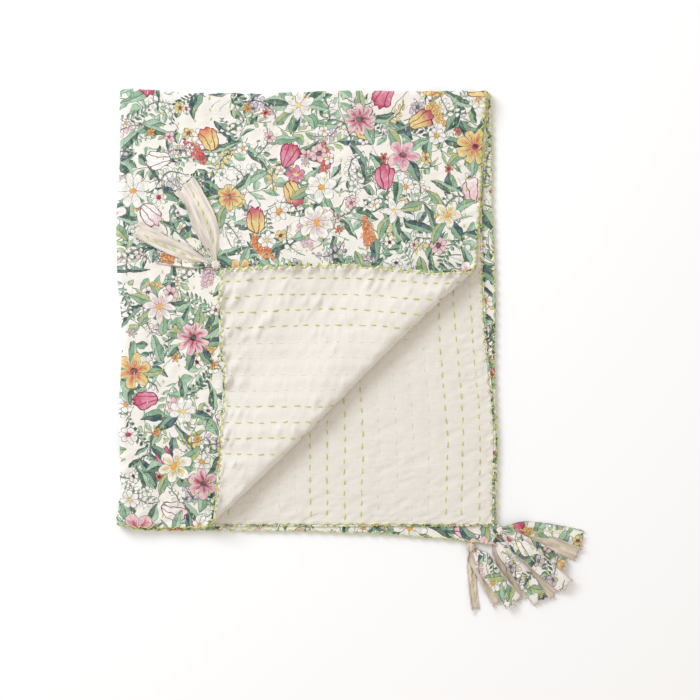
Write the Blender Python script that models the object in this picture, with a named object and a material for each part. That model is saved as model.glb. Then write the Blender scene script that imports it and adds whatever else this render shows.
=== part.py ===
"""Kantha quilt, folded in quarters with one corner of its top layer turned back.

The quilt is a printed cloth and a plain cloth of the same cut, quilted face to face. It lies folded twice:
the first fold is the top edge of the stack and the second is its left edge, so the stack has four layers.
A tassel of quilted strips hangs at each corner of the cut.

A place on the cut cloth is (across, along), in metres from the middle of the cut. Positive across is the
upper half of the stack and negative across the lower half. Negative along is the outer pair of layers and
positive along the inner pair. Lift is the distance from the middle of the quilt's thickness, towards the
print.
"""

import math
from bisect import bisect_left

import bmesh
import bpy
from mathutils import Vector

# The cut
CUT_WIDTH = 1.000
CUT_LENGTH = 1.200
CLOTH = 0.0012
SEAM = 0.0003
LAYER_GAP = 0.0010
QUILT = 2 * CLOTH + SEAM
PITCH = QUILT + LAYER_GAP

# The quilting: rows of running stitch run the length of the cut
FIRST_ROW = 0.0195
ROW_PITCH = 0.022
ROWS_A_SIDE = 22
PINCH = 0.45

# The two folds, which stand a little fuller than the layers behind them
TOP_FULLNESS = 0.0012
LEFT_FULLNESS = 0.0014
EASE = 0.060
FOLD_STEPS = 6

# The turned-back corner of the top layer
TURN_DOWN_SIDE = 0.213
TURN_ALONG_END = 0.097
TURN_RADIUS = 0.010
TURN_STEPS = 6
TURN_BOW = 0.0025
SETTLE = 0.110
SETTLE_STEPS = (0.15, 0.35, 0.6, 1.0)

# How far each layer's hems lie past the cut's even quarters, or short of them where negative. fold, side and
# drawn_in are the side hem's at the fold, at the corner and between the two, and end and corner are the end
# hem's over most of its width and at its corner.
SLIPS = {
    "top": {"fold": 0.003, "side": -0.021, "settles": 1.0, "drawn_in": 0.0, "end": -0.003, "corner": -0.001},
    "second": {"fold": 0.003, "side": 0.0135, "settles": 1.0, "drawn_in": 0.0135, "end": -0.005, "corner": -0.005},
    "third": {"fold": 0.007, "side": 0.0165, "settles": 1.0, "drawn_in": 0.0, "end": 0.001, "corner": 0.022},
    "bottom": {"fold": 0.007, "side": 0.006, "settles": 0.3, "drawn_in": 0.0, "end": 0.001, "corner": 0.001},
}
DRAWN_IN_AT = 0.40
DRAWN_IN_EASE = 0.40
CORNER_FLARE = 4
END_AT_FOLD = -0.006
END_SETTLES = 0.035
HEM_WAVE = 0.0012
HEM_WAVE_LENGTH = 0.21

# How far in from a straight line the two folds lie, at places along each of them
FOLD_LINES = {
    "left": (
        (0.000, 0.0060), (0.090, 0.0048), (0.180, 0.0000), (0.235, 0.0004),
        (0.335, 0.0078), (0.440, 0.0036), (0.520, 0.0044), (0.600, 0.0010),
    ),
    "top": ((0.020, 0.0018), (0.100, 0.0070), (0.180, 0.0078), (0.310, 0.0038), (0.400, 0.0048), (0.500, 0.0040)),
}
FOLD_LINE_REACH = 0.10
# Where the top layer's hems bow out past their line, or in where negative: a place along the hem from the
# cut's middle, the reach to each side of it, and how far
TOP_BOWS = {
    "side": ((0.445, 0.135, 0.0090), (0.520, 0.085, 0.0030), (0.262, 0.050, 0.0035)),
    "end": ((0.330, 0.075, -0.0060), (0.225, 0.115, -0.0045), (0.455, 0.045, 0.0022)),
}

# Where the flat cut has lines of points, from its middle: across its lower half, and along its two lengths
LOWER_LINES = (0.10, 0.20, 0.30, 0.38, 0.45)
LENGTH_LINES = (0.12, 0.18, 0.24, 0.30, 0.36, 0.42, 0.48, 0.54)

# Tassels: a flattened head with strips of the quilt
STRIP_THICKNESS = 0.0020
STRIP_LEVEL = 0.0027
STRIP_STATIONS = 8
ROOT_WIDTH = 0.005
HEAD_RADIUS = 0.0065
HEAD_HALF_HEIGHT = 0.0016
HEAD_CLEARANCE = 0.0003
HEAD_SEGMENTS = 12
HEAD_RINGS = 6

# Each tassel: the signs of across and along at its corner, how far along the end hem its head sits from that
# corner, how far its strips run before they drop, and the share of their length in which they widen. Each
# strip: heading and bend in degrees, length, width and the level it comes to rest at.
TASSELS = {
    "tassel_turned": {
        "corner": (1, -1),
        "aside": 0.0,
        "hold": 0.004,
        "widen": 0.48,
        "strips": (
            {"heading": 98, "bend": 26, "length": 0.116, "width": 0.034, "level": 1},
            {"heading": 128, "bend": 8, "length": 0.082, "width": 0.018, "level": 0},
            {"heading": 160, "bend": -8, "length": 0.118, "width": 0.021, "level": 1},
            {"heading": 176, "bend": -6, "length": 0.080, "width": 0.016, "level": 0},
        ),
    },
    "tassel_second": {
        "corner": (1, 1),
        "aside": 0.0,
        "hold": 0.018,
        "widen": 0.30,
        "strips": (
            {"heading": 0, "bend": -14, "length": 0.116, "width": 0.026, "level": 0},
            {"heading": -14, "bend": -6, "length": 0.114, "width": 0.022, "level": 1},
            {"heading": -26, "bend": -4, "length": 0.102, "width": 0.020, "level": 2},
            {"heading": -37, "bend": -4, "length": 0.120, "width": 0.026, "level": 3},
        ),
    },
    "tassel_bottom": {
        "corner": (-1, -1),
        "aside": 0.0,
        "hold": 0.004,
        "widen": 0.26,
        "strips": (
            {"heading": -42, "bend": -2, "length": 0.118, "width": 0.024, "level": 0},
            {"heading": -55, "bend": 0, "length": 0.112, "width": 0.024, "level": 1},
            {"heading": -68, "bend": 2, "length": 0.098, "width": 0.022, "level": 0},
        ),
    },
    "tassel_third": {
        "corner": (-1, 1),
        "aside": 0.033,
        "hold": 0.004,
        "widen": 0.26,
        "strips": (
            {"heading": -50, "bend": -4, "length": 0.094, "width": 0.027, "level": 2},
            {"heading": -62, "bend": 0, "length": 0.084, "width": 0.022, "level": 1},
            {"heading": -89, "bend": 7, "length": 0.084, "width": 0.011, "level": 0},
        ),
    },
}

PRINT_COLOUR = (0.86, 0.84, 0.76, 1.0)
PLAIN_COLOUR = (0.84, 0.79, 0.71, 1.0)
CLOTH_ROUGHNESS = 0.9
HEM_ANGLE = math.radians(45)

HALF_WIDTH = CUT_WIDTH / 2
HALF_LENGTH = CUT_LENGTH / 2
TOP_RADIUS = PITCH / 2 + TOP_FULLNESS
LEFT_RADIUS = PITCH + LEFT_FULLNESS + TOP_FULLNESS


def clear_scene():
    for obj in list(bpy.data.objects):
        bpy.data.objects.remove(obj, do_unlink=True)


def smooth(share):
    share = min(max(share, 0.0), 1.0)
    return share * share * (3 - 2 * share)


def material(name, colour):
    made = bpy.data.materials.new(name)
    made.use_nodes = True
    shader = made.node_tree.nodes["Principled BSDF"]
    shader.inputs["Base Color"].default_value = colour
    shader.inputs["Roughness"].default_value = CLOTH_ROUGHNESS
    shader.inputs["Metallic"].default_value = 0.0
    return made


def quarter_of(across, along):
    """The name of the layer that a place on the cut belongs to."""
    if across >= 0:
        return "top" if along < 0 else "second"
    return "third" if along > 0 else "bottom"


def bowed(place, bows):
    """How far a hem bows out at a place along it."""
    return sum(out * (1 - smooth(abs(place - middle) / reach)) for middle, reach, out in bows)


def hem_slip(across, along):
    """How far a place has slipped sideways and downwards: more towards the hems, and shared across a fold."""
    slip = SLIPS[quarter_of(across, along)]
    right, down = abs(across) / HALF_WIDTH, abs(along) / HALF_LENGTH
    settled = 1 - (1 - min(down / slip["settles"], 1.0)) ** 2
    side = slip["fold"] + (slip["side"] - slip["fold"]) * settled
    side -= slip["drawn_in"] * smooth(down / DRAWN_IN_AT) * (1 - smooth((down - DRAWN_IN_AT) / DRAWN_IN_EASE))
    wave = HEM_WAVE * math.sin(2 * math.pi * along / HEM_WAVE_LENGTH)
    end = END_AT_FOLD + (slip["end"] - END_AT_FOLD) * smooth(abs(across) / END_SETTLES)
    end += (slip["corner"] - slip["end"]) * right**CORNER_FLARE
    if quarter_of(across, along) == "top":
        side += bowed(abs(along), TOP_BOWS["side"])
        end += bowed(abs(across), TOP_BOWS["end"])
    return (side + wave) * right**2, end * down**2


# ---- The folds ----

def top_fold(along, lift):
    """(y, height off the doubled sheet's middle) where the cut is folded over its top edge."""
    quarter_turn = TOP_RADIUS * math.pi / 2
    if abs(along) <= quarter_turn:
        turn = along / TOP_RADIUS
        return (TOP_RADIUS + lift) * math.cos(turn) - TOP_RADIUS, -(TOP_RADIUS + lift) * math.sin(turn)
    past = abs(along) - quarter_turn
    height = PITCH / 2 + fullness(past) + lift
    return -(TOP_RADIUS + past), math.copysign(height, -along)


def fullness(past_top_fold):
    return TOP_FULLNESS * (1 - smooth(past_top_fold / EASE))


def left_fold(across, height, extra):
    """(x, z) where the doubled sheet is folded under at its left edge. extra is the fullness at the top."""
    radius = PITCH + LEFT_FULLNESS + extra
    quarter_turn = radius * math.pi / 2
    half = PITCH / 2 + extra
    if abs(across) <= quarter_turn:
        turn = across / radius
        middle = QUILT / 2 + radius + half
        return radius - (radius + height) * math.cos(turn), middle + (radius + height) * math.sin(turn)
    past = abs(across) - quarter_turn
    rise = PITCH + extra + LEFT_FULLNESS * (1 - smooth(past / EASE))
    middle = QUILT / 2 + rise + half
    return radius + past, middle + math.copysign(rise + height, across)


# ---- The turned-back corner ----

def turn_line():
    """A point on the line where the corner starts to lift, the line's direction and the way to the corner."""
    on_side = Vector((HALF_WIDTH, -TURN_DOWN_SIDE))
    on_end = Vector((TURN_ALONG_END, -HALF_LENGTH))
    direction = (on_end - on_side).normalized()
    return on_side, direction, Vector((-direction.y, direction.x)), (on_end - on_side).length


def turned(x, y, z, lift):
    """The top layer's point (x, y, z), rolled back over the layer where it lies past the turn line."""
    start, direction, to_corner, length = turn_line()
    offset = Vector((x, y)) - start
    run = offset.dot(direction)
    past = offset.dot(to_corner) + TURN_BOW * math.sin(2 * math.pi * run / length)
    if past <= 0:
        return Vector((x, y, z))
    ground = z - lift
    half_turn = TURN_RADIUS * math.pi
    if past < half_turn:
        turn = past / TURN_RADIUS
        out = (TURN_RADIUS - lift) * math.sin(turn)
        height = TURN_RADIUS - (TURN_RADIUS - lift) * math.cos(turn)
    else:
        out = half_turn - past
        drop = (2 * TURN_RADIUS - PITCH) * smooth((past - half_turn) / SETTLE)
        height = 2 * TURN_RADIUS - drop - lift
    place = Vector((x, y)) + to_corner * (out - past)
    return Vector((place.x, place.y, ground + height))


def in_from_line(place, line):
    """How far in a fold lies at a place along it."""
    for (start, first), (end, last) in zip(line, line[1:]):
        if place <= end:
            return first + (last - first) * smooth((place - start) / (end - start))
    return line[-1][1]


def fold_slip(x, y):
    """How far sideways and downwards a place lies because the folds beside it aren't straight."""
    side = in_from_line(-y, FOLD_LINES["left"]) * (1 - smooth(x / FOLD_LINE_REACH))
    down = in_from_line(x, FOLD_LINES["top"]) * (1 - smooth(-y / FOLD_LINE_REACH))
    return Vector((side, -down, 0.0))


def lay(across, along, lift):
    """Where a point of the cut cloth lies in the folded quilt."""
    y, height = top_fold(along, lift)
    extra = fullness(max(0.0, abs(along) - TOP_RADIUS * math.pi / 2))
    x, z = left_fold(across, height, extra)
    side, end = hem_slip(across, along)
    x, y = x + side, y - end
    place = Vector((x, y, z))
    if quarter_of(across, along) == "top" and x > TURN_ALONG_END / 2:
        place = turned(x, y, z, lift)
    return place + fold_slip(place.x, place.y)


# ---- The two cloths ----

def stitch_rows():
    """Where the rows of stitches cross the upper half of the cut, from the fold to the side hem."""
    rows = [HALF_WIDTH - FIRST_ROW - ROW_PITCH * row for row in range(ROWS_A_SIDE)]
    return sorted(rows)


def plumpness(across):
    """1 on the crown between two rows of stitches, and PINCH along a row."""
    rows = stitch_rows()
    if across < rows[0] / 2:
        return 1.0
    after = bisect_left(rows, across)
    nearest = min(abs(across - row) for row in rows[max(0, after - 1) : after + 1])
    return PINCH + (1 - PINCH) * smooth(nearest / (ROW_PITCH / 2))


def crossing_lines():
    """The lines across the cut where the flat cloth needs points: the upper half's quilting and the left fold."""
    rows = stitch_rows()
    crowns = [(a + b) / 2 for a, b in zip(rows, rows[1:])]
    turn = LEFT_RADIUS * math.pi / 2
    fold = [turn * (2 * step / FOLD_STEPS - 1) for step in range(FOLD_STEPS + 1)]
    lower = [-HALF_WIDTH, *(-line for line in LOWER_LINES), -EASE, -END_SETTLES, -END_SETTLES / 2]
    return sorted(lower + fold + rows + crowns + [HALF_WIDTH])


def length_lines():
    """The lines along the cut where the flat cloth needs points: the top fold, and a few to let hems wander."""
    turn = TOP_RADIUS * math.pi / 2
    fold = [turn * (2 * step / FOLD_STEPS - 1) for step in range(FOLD_STEPS + 1)]
    outer = [-HALF_LENGTH, *(-line for line in LENGTH_LINES), -EASE - turn, -EASE / 2 - turn]
    inner = [EASE / 2 + turn, EASE + turn, *LENGTH_LINES, HALF_LENGTH]
    return sorted(outer + fold + inner)


def flat_cut():
    """The flat cut as a grid, with extra edges that run with the turn."""
    columns, rows = crossing_lines(), length_lines()
    flat = bmesh.new()
    bmesh.ops.create_grid(flat, x_segments=len(columns) - 1, y_segments=len(rows) - 1, size=1.0)
    for vert in flat.verts:
        column = round((vert.co.x + 1) / 2 * (len(columns) - 1))
        row = round((vert.co.y + 1) / 2 * (len(rows) - 1))
        vert.co = (columns[column], rows[row], 0.0)
    start, _, to_corner, _ = turn_line()
    # Back from the laid stack to the cut, which the two folds have taken up a little of
    start = start + Vector((LEFT_RADIUS * (math.pi / 2 - 1), -TOP_RADIUS * (math.pi / 2 - 1)))
    half_turn = TURN_RADIUS * math.pi
    steps = [half_turn * step / TURN_STEPS for step in range(TURN_STEPS + 1)]
    steps += [half_turn + SETTLE * share for share in SETTLE_STEPS]
    for step in steps:
        quarter = [face for face in flat.faces if face.calc_center_median().x > 0 > face.calc_center_median().y]
        edges = {edge for face in quarter for edge in face.edges}
        verts = {vert for face in quarter for vert in face.verts}
        through = start + to_corner * step
        bmesh.ops.bisect_plane(
            flat,
            geom=quarter + list(edges) + list(verts),
            plane_co=(through.x, through.y, 0),
            plane_no=(to_corner.x, to_corner.y, 0),
            dist=0.0004,
        )
    bmesh.ops.triangulate(flat, faces=list(flat.faces))
    return flat


def add_cloth(name, towards_print, colour, parent):
    """One of the two cloths: the flat cut given its thickness, then laid in its folds."""
    slab = flat_cut()
    made = bmesh.ops.extrude_face_region(slab, geom=list(slab.faces))
    raised = [item for item in made["geom"] if isinstance(item, bmesh.types.BMVert)]
    bmesh.ops.translate(slab, verts=raised, vec=(0, 0, 1))
    bmesh.ops.recalc_face_normals(slab, faces=list(slab.faces))
    for vert in slab.verts:
        across, along, upper = vert.co
        outward = (upper > 0.5) == towards_print
        lift = SEAM / 2 + (CLOTH * plumpness(across) if outward else 0.0)
        vert.co = lay(across, along, lift if towards_print else -lift)
    mesh = bpy.data.meshes.new(name)
    slab.to_mesh(mesh)
    slab.free()
    mesh.shade_smooth()
    mesh.set_sharp_from_angle(angle=HEM_ANGLE)
    return add_object(name, mesh, colour, parent)


def add_object(name, mesh, colour, parent):
    obj = bpy.data.objects.new(name, mesh)
    mesh.materials.append(material(name, colour))
    parts.objects.link(obj)
    obj.parent = parent
    return obj


# ---- The tassels ----

def head_place(tassel):
    """The middle of a tassel's head, just off its corner of the cut, or off the end hem beside it."""
    side, end = tassel["corner"]
    across = HALF_WIDTH - tassel["aside"]
    inner_across = across if tassel["aside"] else across - HEAD_RADIUS
    corner = lay(side * across, end * HALF_LENGTH, 0.0)
    inside = lay(side * inner_across, end * (HALF_LENGTH - HEAD_RADIUS), 0.0)
    off = (corner - inside).to_2d().normalized() * (HEAD_RADIUS + HEAD_CLEARANCE)
    return Vector((corner.x + off.x, corner.y + off.y, max(corner.z, HEAD_HALF_HEIGHT)))


def floor_under(tassel, place, width):
    """What a strip's lowest level is: just over the top layer for the turned corner's, or else the ground."""
    if tassel["corner"] != (1, -1):
        return 0.0
    return lay(place.x - width / 2, -HALF_LENGTH / 2, QUILT / 2).z + LAYER_GAP / 2


def strip_points(root, tassel, strip):
    """The corners of a strip's section at each station from the head to its loose end."""
    heading, length = math.radians(strip["heading"]), strip["length"]
    place = root.to_2d()
    points = []
    for station in range(STRIP_STATIONS):
        share = station / (STRIP_STATIONS - 1)
        angle = heading + math.radians(strip["bend"]) * share
        along = Vector((math.cos(angle), math.sin(angle)))
        if station:
            place = place + along * length / (STRIP_STATIONS - 1)
        width = ROOT_WIDTH + (strip["width"] - ROOT_WIDTH) * smooth(share / tassel["widen"])
        rest = floor_under(tassel, place, width) + STRIP_THICKNESS / 2 + STRIP_LEVEL * strip["level"]
        drop = smooth((share * length - tassel["hold"]) / (length * tassel["widen"]))
        middle = Vector((place.x, place.y, root.z + (rest - root.z) * drop))
        across = Vector((-along.y, along.x, 0)) * width / 2
        up = Vector((0, 0, STRIP_THICKNESS / 2))
        points.append([middle - across - up, middle + across - up, middle + across + up, middle - across + up])
    return points


def add_strip(mesh, sections):
    """A strip as a loft through its four-sided sections, closed at both ends."""
    rings = [[mesh.verts.new(corner) for corner in section] for section in sections]
    for first, second in zip(rings, rings[1:]):
        for side in range(4):
            after = (side + 1) % 4
            mesh.faces.new((first[side], first[after], second[after], second[side]))
    mesh.faces.new(rings[0][::-1])
    mesh.faces.new(rings[-1])


def head_shape(middle):
    """The stitched head, a flattened ball."""
    shape = bmesh.new()
    bmesh.ops.create_uvsphere(shape, u_segments=HEAD_SEGMENTS, v_segments=HEAD_RINGS, radius=1.0)
    bmesh.ops.scale(shape, verts=list(shape.verts), vec=(HEAD_RADIUS, HEAD_RADIUS, HEAD_HALF_HEIGHT))
    bmesh.ops.translate(shape, verts=list(shape.verts), vec=middle)
    return shape


def add_helper(name, shape, parent):
    """A hidden object for a tassel's head to be joined with."""
    mesh = bpy.data.meshes.new(name)
    shape.to_mesh(mesh)
    shape.free()
    helper = bpy.data.objects.new(name, mesh)
    helper.hide_render = True
    helper.display_type = "WIRE"
    helper.parent = parent
    helpers.objects.link(helper)
    return helper


def add_tassel(name, tassel, parent):
    """A tassel: its strips fused into its head, one body."""
    root = head_place(tassel)
    mesh = bpy.data.meshes.new(name)
    head = head_shape(root)
    head.to_mesh(mesh)
    head.free()
    obj = add_object(name, mesh, PRINT_COLOUR, parent)
    for index, strip in enumerate(tassel["strips"]):
        piece = bmesh.new()
        add_strip(piece, strip_points(root, tassel, strip))
        bmesh.ops.recalc_face_normals(piece, faces=list(piece.faces))
        joined = obj.modifiers.new(f"strip_{index}", "BOOLEAN")
        joined.operation = "UNION"
        joined.solver = "EXACT"
        joined.object = add_helper(f"{name}_strip_{index}", piece, parent)
    return obj


def new_collection(name):
    made = bpy.data.collections.new(name)
    bpy.context.scene.collection.children.link(made)
    return made


def stand_on_own_box(stack):
    """Moves the stack so that the middle of its box, at its underside, is the origin."""
    bpy.context.view_layer.update()
    graph = bpy.context.evaluated_depsgraph_get()
    corners = [
        obj.matrix_world @ Vector(corner)
        for obj in parts.objects
        if obj.type == "MESH"
        for corner in obj.evaluated_get(graph).bound_box
    ]
    middle = [(min(c[i] for c in corners) + max(c[i] for c in corners)) / 2 for i in (0, 1)]
    stack.location = (-middle[0], -middle[1], 0.0)


def build():
    stack = bpy.data.objects.new("folded_stack", None)
    parts.objects.link(stack)
    add_cloth("front_cloth", True, PRINT_COLOUR, stack)
    add_cloth("back_cloth", False, PLAIN_COLOUR, stack)
    for name, tassel in TASSELS.items():
        add_tassel(name, tassel, stack)
    stand_on_own_box(stack)


clear_scene()
parts = new_collection("kantha_quilt")
helpers = new_collection("helpers")
build()
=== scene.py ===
"""The looks of the folded kantha quilt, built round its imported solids.

A place on the cut cloth is (across, along), in metres from the middle of the cut, and lift is its distance
from the middle of the quilt's thickness, towards the print. lay() puts such a place where it lies in the
folded stack, as in the part's own source. Both cloths, the stitches and the hems are laid by it.
"""

import math
import random
from bisect import bisect_left
from collections import namedtuple

import bmesh
import bpy
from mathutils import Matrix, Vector, noise


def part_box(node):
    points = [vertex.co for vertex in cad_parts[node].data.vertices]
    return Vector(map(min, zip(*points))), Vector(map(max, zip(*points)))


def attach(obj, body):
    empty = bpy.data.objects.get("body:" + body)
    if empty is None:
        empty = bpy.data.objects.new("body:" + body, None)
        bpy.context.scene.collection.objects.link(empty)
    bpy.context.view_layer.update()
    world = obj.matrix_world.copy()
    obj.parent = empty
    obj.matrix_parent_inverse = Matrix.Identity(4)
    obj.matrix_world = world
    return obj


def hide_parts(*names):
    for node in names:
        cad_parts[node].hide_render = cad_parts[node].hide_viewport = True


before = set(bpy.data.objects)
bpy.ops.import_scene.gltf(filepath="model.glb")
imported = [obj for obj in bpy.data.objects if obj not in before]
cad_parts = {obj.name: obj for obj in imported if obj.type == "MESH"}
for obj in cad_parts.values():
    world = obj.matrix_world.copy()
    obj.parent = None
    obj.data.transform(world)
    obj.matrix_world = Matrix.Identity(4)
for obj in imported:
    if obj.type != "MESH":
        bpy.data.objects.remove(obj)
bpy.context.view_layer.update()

# The cut, the folds and the turned corner, as in the part's source
CUT_WIDTH = 1.000
CUT_LENGTH = 1.200
CLOTH = 0.0012
SEAM = 0.0003
LAYER_GAP = 0.0010
QUILT = 2 * CLOTH + SEAM
PITCH = QUILT + LAYER_GAP
FIRST_ROW = 0.0195
ROW_PITCH = 0.022
ROWS_A_SIDE = 22
PINCH = 0.45
TOP_FULLNESS = 0.0012
LEFT_FULLNESS = 0.0014
EASE = 0.060
TURN_DOWN_SIDE = 0.213
TURN_ALONG_END = 0.097
TURN_RADIUS = 0.010
TURN_BOW = 0.0025
SETTLE = 0.110
Slip = namedtuple("Slip", "fold side settles drawn_in end corner")
SLIPS = {
    "top": Slip(0.003, -0.021, 1.0, 0.0, -0.003, -0.001),
    "second": Slip(0.003, 0.0135, 1.0, 0.0135, -0.005, -0.005),
    "third": Slip(0.007, 0.0165, 1.0, 0.0, 0.001, 0.022),
    "bottom": Slip(0.007, 0.006, 0.3, 0.0, 0.001, 0.001),
}
DRAWN_IN_AT = 0.40
DRAWN_IN_EASE = 0.40
CORNER_FLARE = 4
END_AT_FOLD = -0.006
END_SETTLES = 0.035
HEM_WAVE = 0.0012
HEM_WAVE_LENGTH = 0.21
FOLD_COURSES = {
    "left": (
        (0.000, 0.0060), (0.090, 0.0048), (0.180, 0.0000), (0.235, 0.0004),
        (0.335, 0.0078), (0.440, 0.0036), (0.520, 0.0044), (0.600, 0.0010),
    ),
    "top": (
        (0.020, 0.0018), (0.100, 0.0070), (0.180, 0.0078), (0.310, 0.0038), (0.400, 0.0048), (0.500, 0.0040),
    ),
}
FOLD_COURSE_REACH = 0.10
TOP_BOWS = {
    "side": ((0.445, 0.135, 0.0090), (0.520, 0.085, 0.0030), (0.262, 0.050, 0.0035)),
    "end": ((0.330, 0.075, -0.0060), (0.225, 0.115, -0.0045), (0.455, 0.045, 0.0022)),
}
HALF_WIDTH = CUT_WIDTH / 2
HALF_LENGTH = CUT_LENGTH / 2
TOP_RADIUS = PITCH / 2 + TOP_FULLNESS

# The stack's top left corner in the frame
front_low, front_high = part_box("front_cloth")
STACK = Vector((
    front_low.x + PITCH / 2 + QUILT / 2,
    front_high.y - QUILT / 2 + FOLD_COURSES["top"][0][1],
    0.0,
))

# The grid of points on a cloth's outer face: fine where it shows and wide where it is covered
FINE_COLUMN = ROW_PITCH / 6
FINE_ROW = 0.0024
HEM_ROW = 0.0040
COVERED = 0.020
FOLD_STEPS = 12
INNER_STEP = 0.012
INNER_HEM = 0.005
HEM_INSETS = (0.0, 0.0003, 0.0008, 0.0015, 0.0025, 0.0040, 0.0060)

# The relief of the quilting, beyond the solids' own grooves
LOFT = 0.0006
COVERED_SHARE = 0.25
LEAST_SKIN = 0.0003

# The short creases that stitches draw up, with the sway of their lines and the swing of their strength
PUCKER = 0.00100
PUCKER_LENGTH = 0.0068
PUCKER_WIDTH = 0.017
PUCKER_SLANT = 0.45
PUCKER_SWAY = 0.0045
PUCKER_SWAY_WIDTH = 0.030
PUCKER_SWAY_LENGTH = 0.045
PUCKER_STRENGTH = 0.75
PUCKER_SWING = 0.9
PUCKER_SWING_SIZE = 0.08
PUCKER_AT_HEM = 1.5
PUCKER_SHARES = {"front": 1.15, "flap": 1.0, "second": 1.4}
HEM_PULL = 0.055
CRINKLE = 0.00038
CRINKLE_LENGTH = 0.0030
CRINKLE_WIDTH = 0.011
CRUMPLE = 0.00035
CRUMPLE_SIZE = 0.0120

# The soft swells of the whole quilt
BILLOW_SIZE = 0.034
BILLOWS = {"top": 0.0009, "second": 0.0004, "third": 0.0002, "bottom": 0.0}
FLAP_BILLOW = 0.0022
FLAP_BILLOW_EASE = 0.03
SWELL = 0.5
SWELL_SWING = 0.9

# The hem: its round nose, the ridge of its fold, the print's rim on the plain side and the scallops
HEM_ROUND = 0.0016
HEM_BLUNTNESS = 0.02
HEM_FOLD = 0.0065
HEM_RIDGE = 0.00045
HEM_RIDGE_EASE = 0.002
RIM = 0.0022
RIM_EASE = 0.012
RIM_DEPTH = 0.0009
RIM_STEP = 0.0008
SCALLOP = 0.0014
SCALLOP_REACH = 0.0070
SCALLOP_SHARPNESS = 1.5
SCALLOP_SWAY = 0.0020
SCALLOP_SWAY_LENGTH = 0.05

# Where each layer's relief fades in: from the middle of the roll, or from the turn line for the second layer
SHOWN_FADE = 0.020
FRONT_PAST_ROLL = 0.010
SECOND_BEFORE_TURN = 0.004
SECOND_FADE = 0.024

# The main creases that show, as seen from above: the layer, the two ends in metres right of and below the
# stack's top left corner, half the width and the height, which is a trough's where it is negative
CREASES = (
    ("flap", (0.172, 0.328), (0.196, 0.300), 0.0075, -0.0016),
    ("flap", (0.196, 0.300), (0.222, 0.250), 0.0080, -0.0015),
    ("flap", (0.184, 0.334), (0.214, 0.300), 0.0070, 0.0012),
    ("flap", (0.158, 0.312), (0.194, 0.262), 0.0060, -0.0012),
    ("flap", (0.146, 0.300), (0.166, 0.266), 0.0055, 0.0010),
    ("flap", (0.236, 0.300), (0.262, 0.248), 0.0070, -0.0009),
    ("flap", (0.290, 0.290), (0.330, 0.258), 0.0065, -0.0010),
    ("flap", (0.340, 0.292), (0.392, 0.266), 0.0075, -0.0012),
    ("flap", (0.142, 0.410), (0.214, 0.414), 0.0050, -0.0007),
    ("flap", (0.180, 0.452), (0.262, 0.440), 0.0075, -0.0009),
    ("flap", (0.140, 0.500), (0.188, 0.486), 0.0065, -0.0011),
    ("flap", (0.136, 0.548), (0.166, 0.524), 0.0060, -0.0012),
    ("second", (0.436, 0.473), (0.464, 0.462), 0.0055, -0.0012),
    ("second", (0.468, 0.500), (0.487, 0.489), 0.0045, -0.0013),
    ("second", (0.428, 0.540), (0.462, 0.526), 0.0060, -0.0011),
    ("second", (0.462, 0.566), (0.486, 0.540), 0.0055, -0.0013),
    ("second", (0.470, 0.452), (0.503, 0.456), 0.0050, 0.0010),
    ("second", (0.452, 0.404), (0.500, 0.394), 0.0060, -0.0010),
    ("second", (0.448, 0.330), (0.494, 0.336), 0.0050, -0.0010),
    ("second", (0.440, 0.366), (0.486, 0.372), 0.0065, 0.0009),
    ("second", (0.330, 0.470), (0.392, 0.456), 0.0075, -0.0010),
    ("second", (0.346, 0.520), (0.420, 0.506), 0.0070, -0.0010),
    ("second", (0.290, 0.560), (0.350, 0.566), 0.0060, -0.0011),
    ("second", (0.226, 0.566), (0.286, 0.552), 0.0065, -0.0011),
    ("second", (0.370, 0.576), (0.398, 0.556), 0.0050, 0.0010),
    ("front", (0.010, 0.060), (0.050, 0.082), 0.0070, -0.0010),
    ("front", (0.004, 0.200), (0.062, 0.190), 0.0060, -0.0011),
    ("front", (0.004, 0.262), (0.046, 0.278), 0.0060, -0.0010),
    ("front", (0.010, 0.420), (0.070, 0.404), 0.0065, -0.0011),
    ("front", (0.014, 0.520), (0.066, 0.536), 0.0060, -0.0011),
    ("front", (0.120, 0.040), (0.180, 0.030), 0.0070, -0.0009),
    ("front", (0.300, 0.180), (0.366, 0.196), 0.0075, -0.0010),
    ("front", (0.396, 0.070), (0.462, 0.058), 0.0070, -0.0010),
    ("front", (0.380, 0.226), (0.446, 0.214), 0.0065, -0.0011),
    ("front", (0.214, 0.120), (0.262, 0.140), 0.0070, 0.0009),
)
CREASE_DEPTH = 1.3
CREASE_SWAY = 0.0028
CREASE_SWAY_LENGTH = 0.018
CREASE_MARGIN = 0.02
CREASE_END_EASE = 2.5
CREASE_SIDE_EASE = 1.6

# The running stitches
STITCH_PERIOD = 0.0158
PLAIN_SHARE = 0.62
STITCH_WANDER = 0.0013
STITCH_JITTER = 0.20
STITCH_LEAN = 0.0007
STITCH_TRIM = 0.3
STITCH_END_GIRTH = 0.70
STITCH_DIVE = 0.5
STITCH_STANDS = {"green": 0.12, "pale": 0.05}
STITCH_POINTS = 6
THREAD_WIDTH = 0.0018
THREAD_ARCH = 0.00030
PALE_THREAD_WIDTH = 0.0010
GREEN_ROWS = 4
PALE_ROWS = 4
ROW_SHIFT = {"top": 0, "second": 1, "third": 1, "bottom": 0}
ROW_START = 0.004
ROW_DRIFT = 0.0026
ROW_DRIFT_LENGTH = 0.12
END_MARGIN = 0.004

# The hems' overcast stitches, round the side hems and the end hems
SIDE_PITCH = 0.0138
END_PITCH = 0.0165
SIDE_BITE = 0.0032
END_BITE = 0.0021
HEM_THREAD = 0.0017
HEM_SLANTS = (0.70, 1.10)
HEM_BITES = (0.5, 1.4)
HEM_STRAY = 0.0007
HEM_END_GIRTH = 0.7

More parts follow.
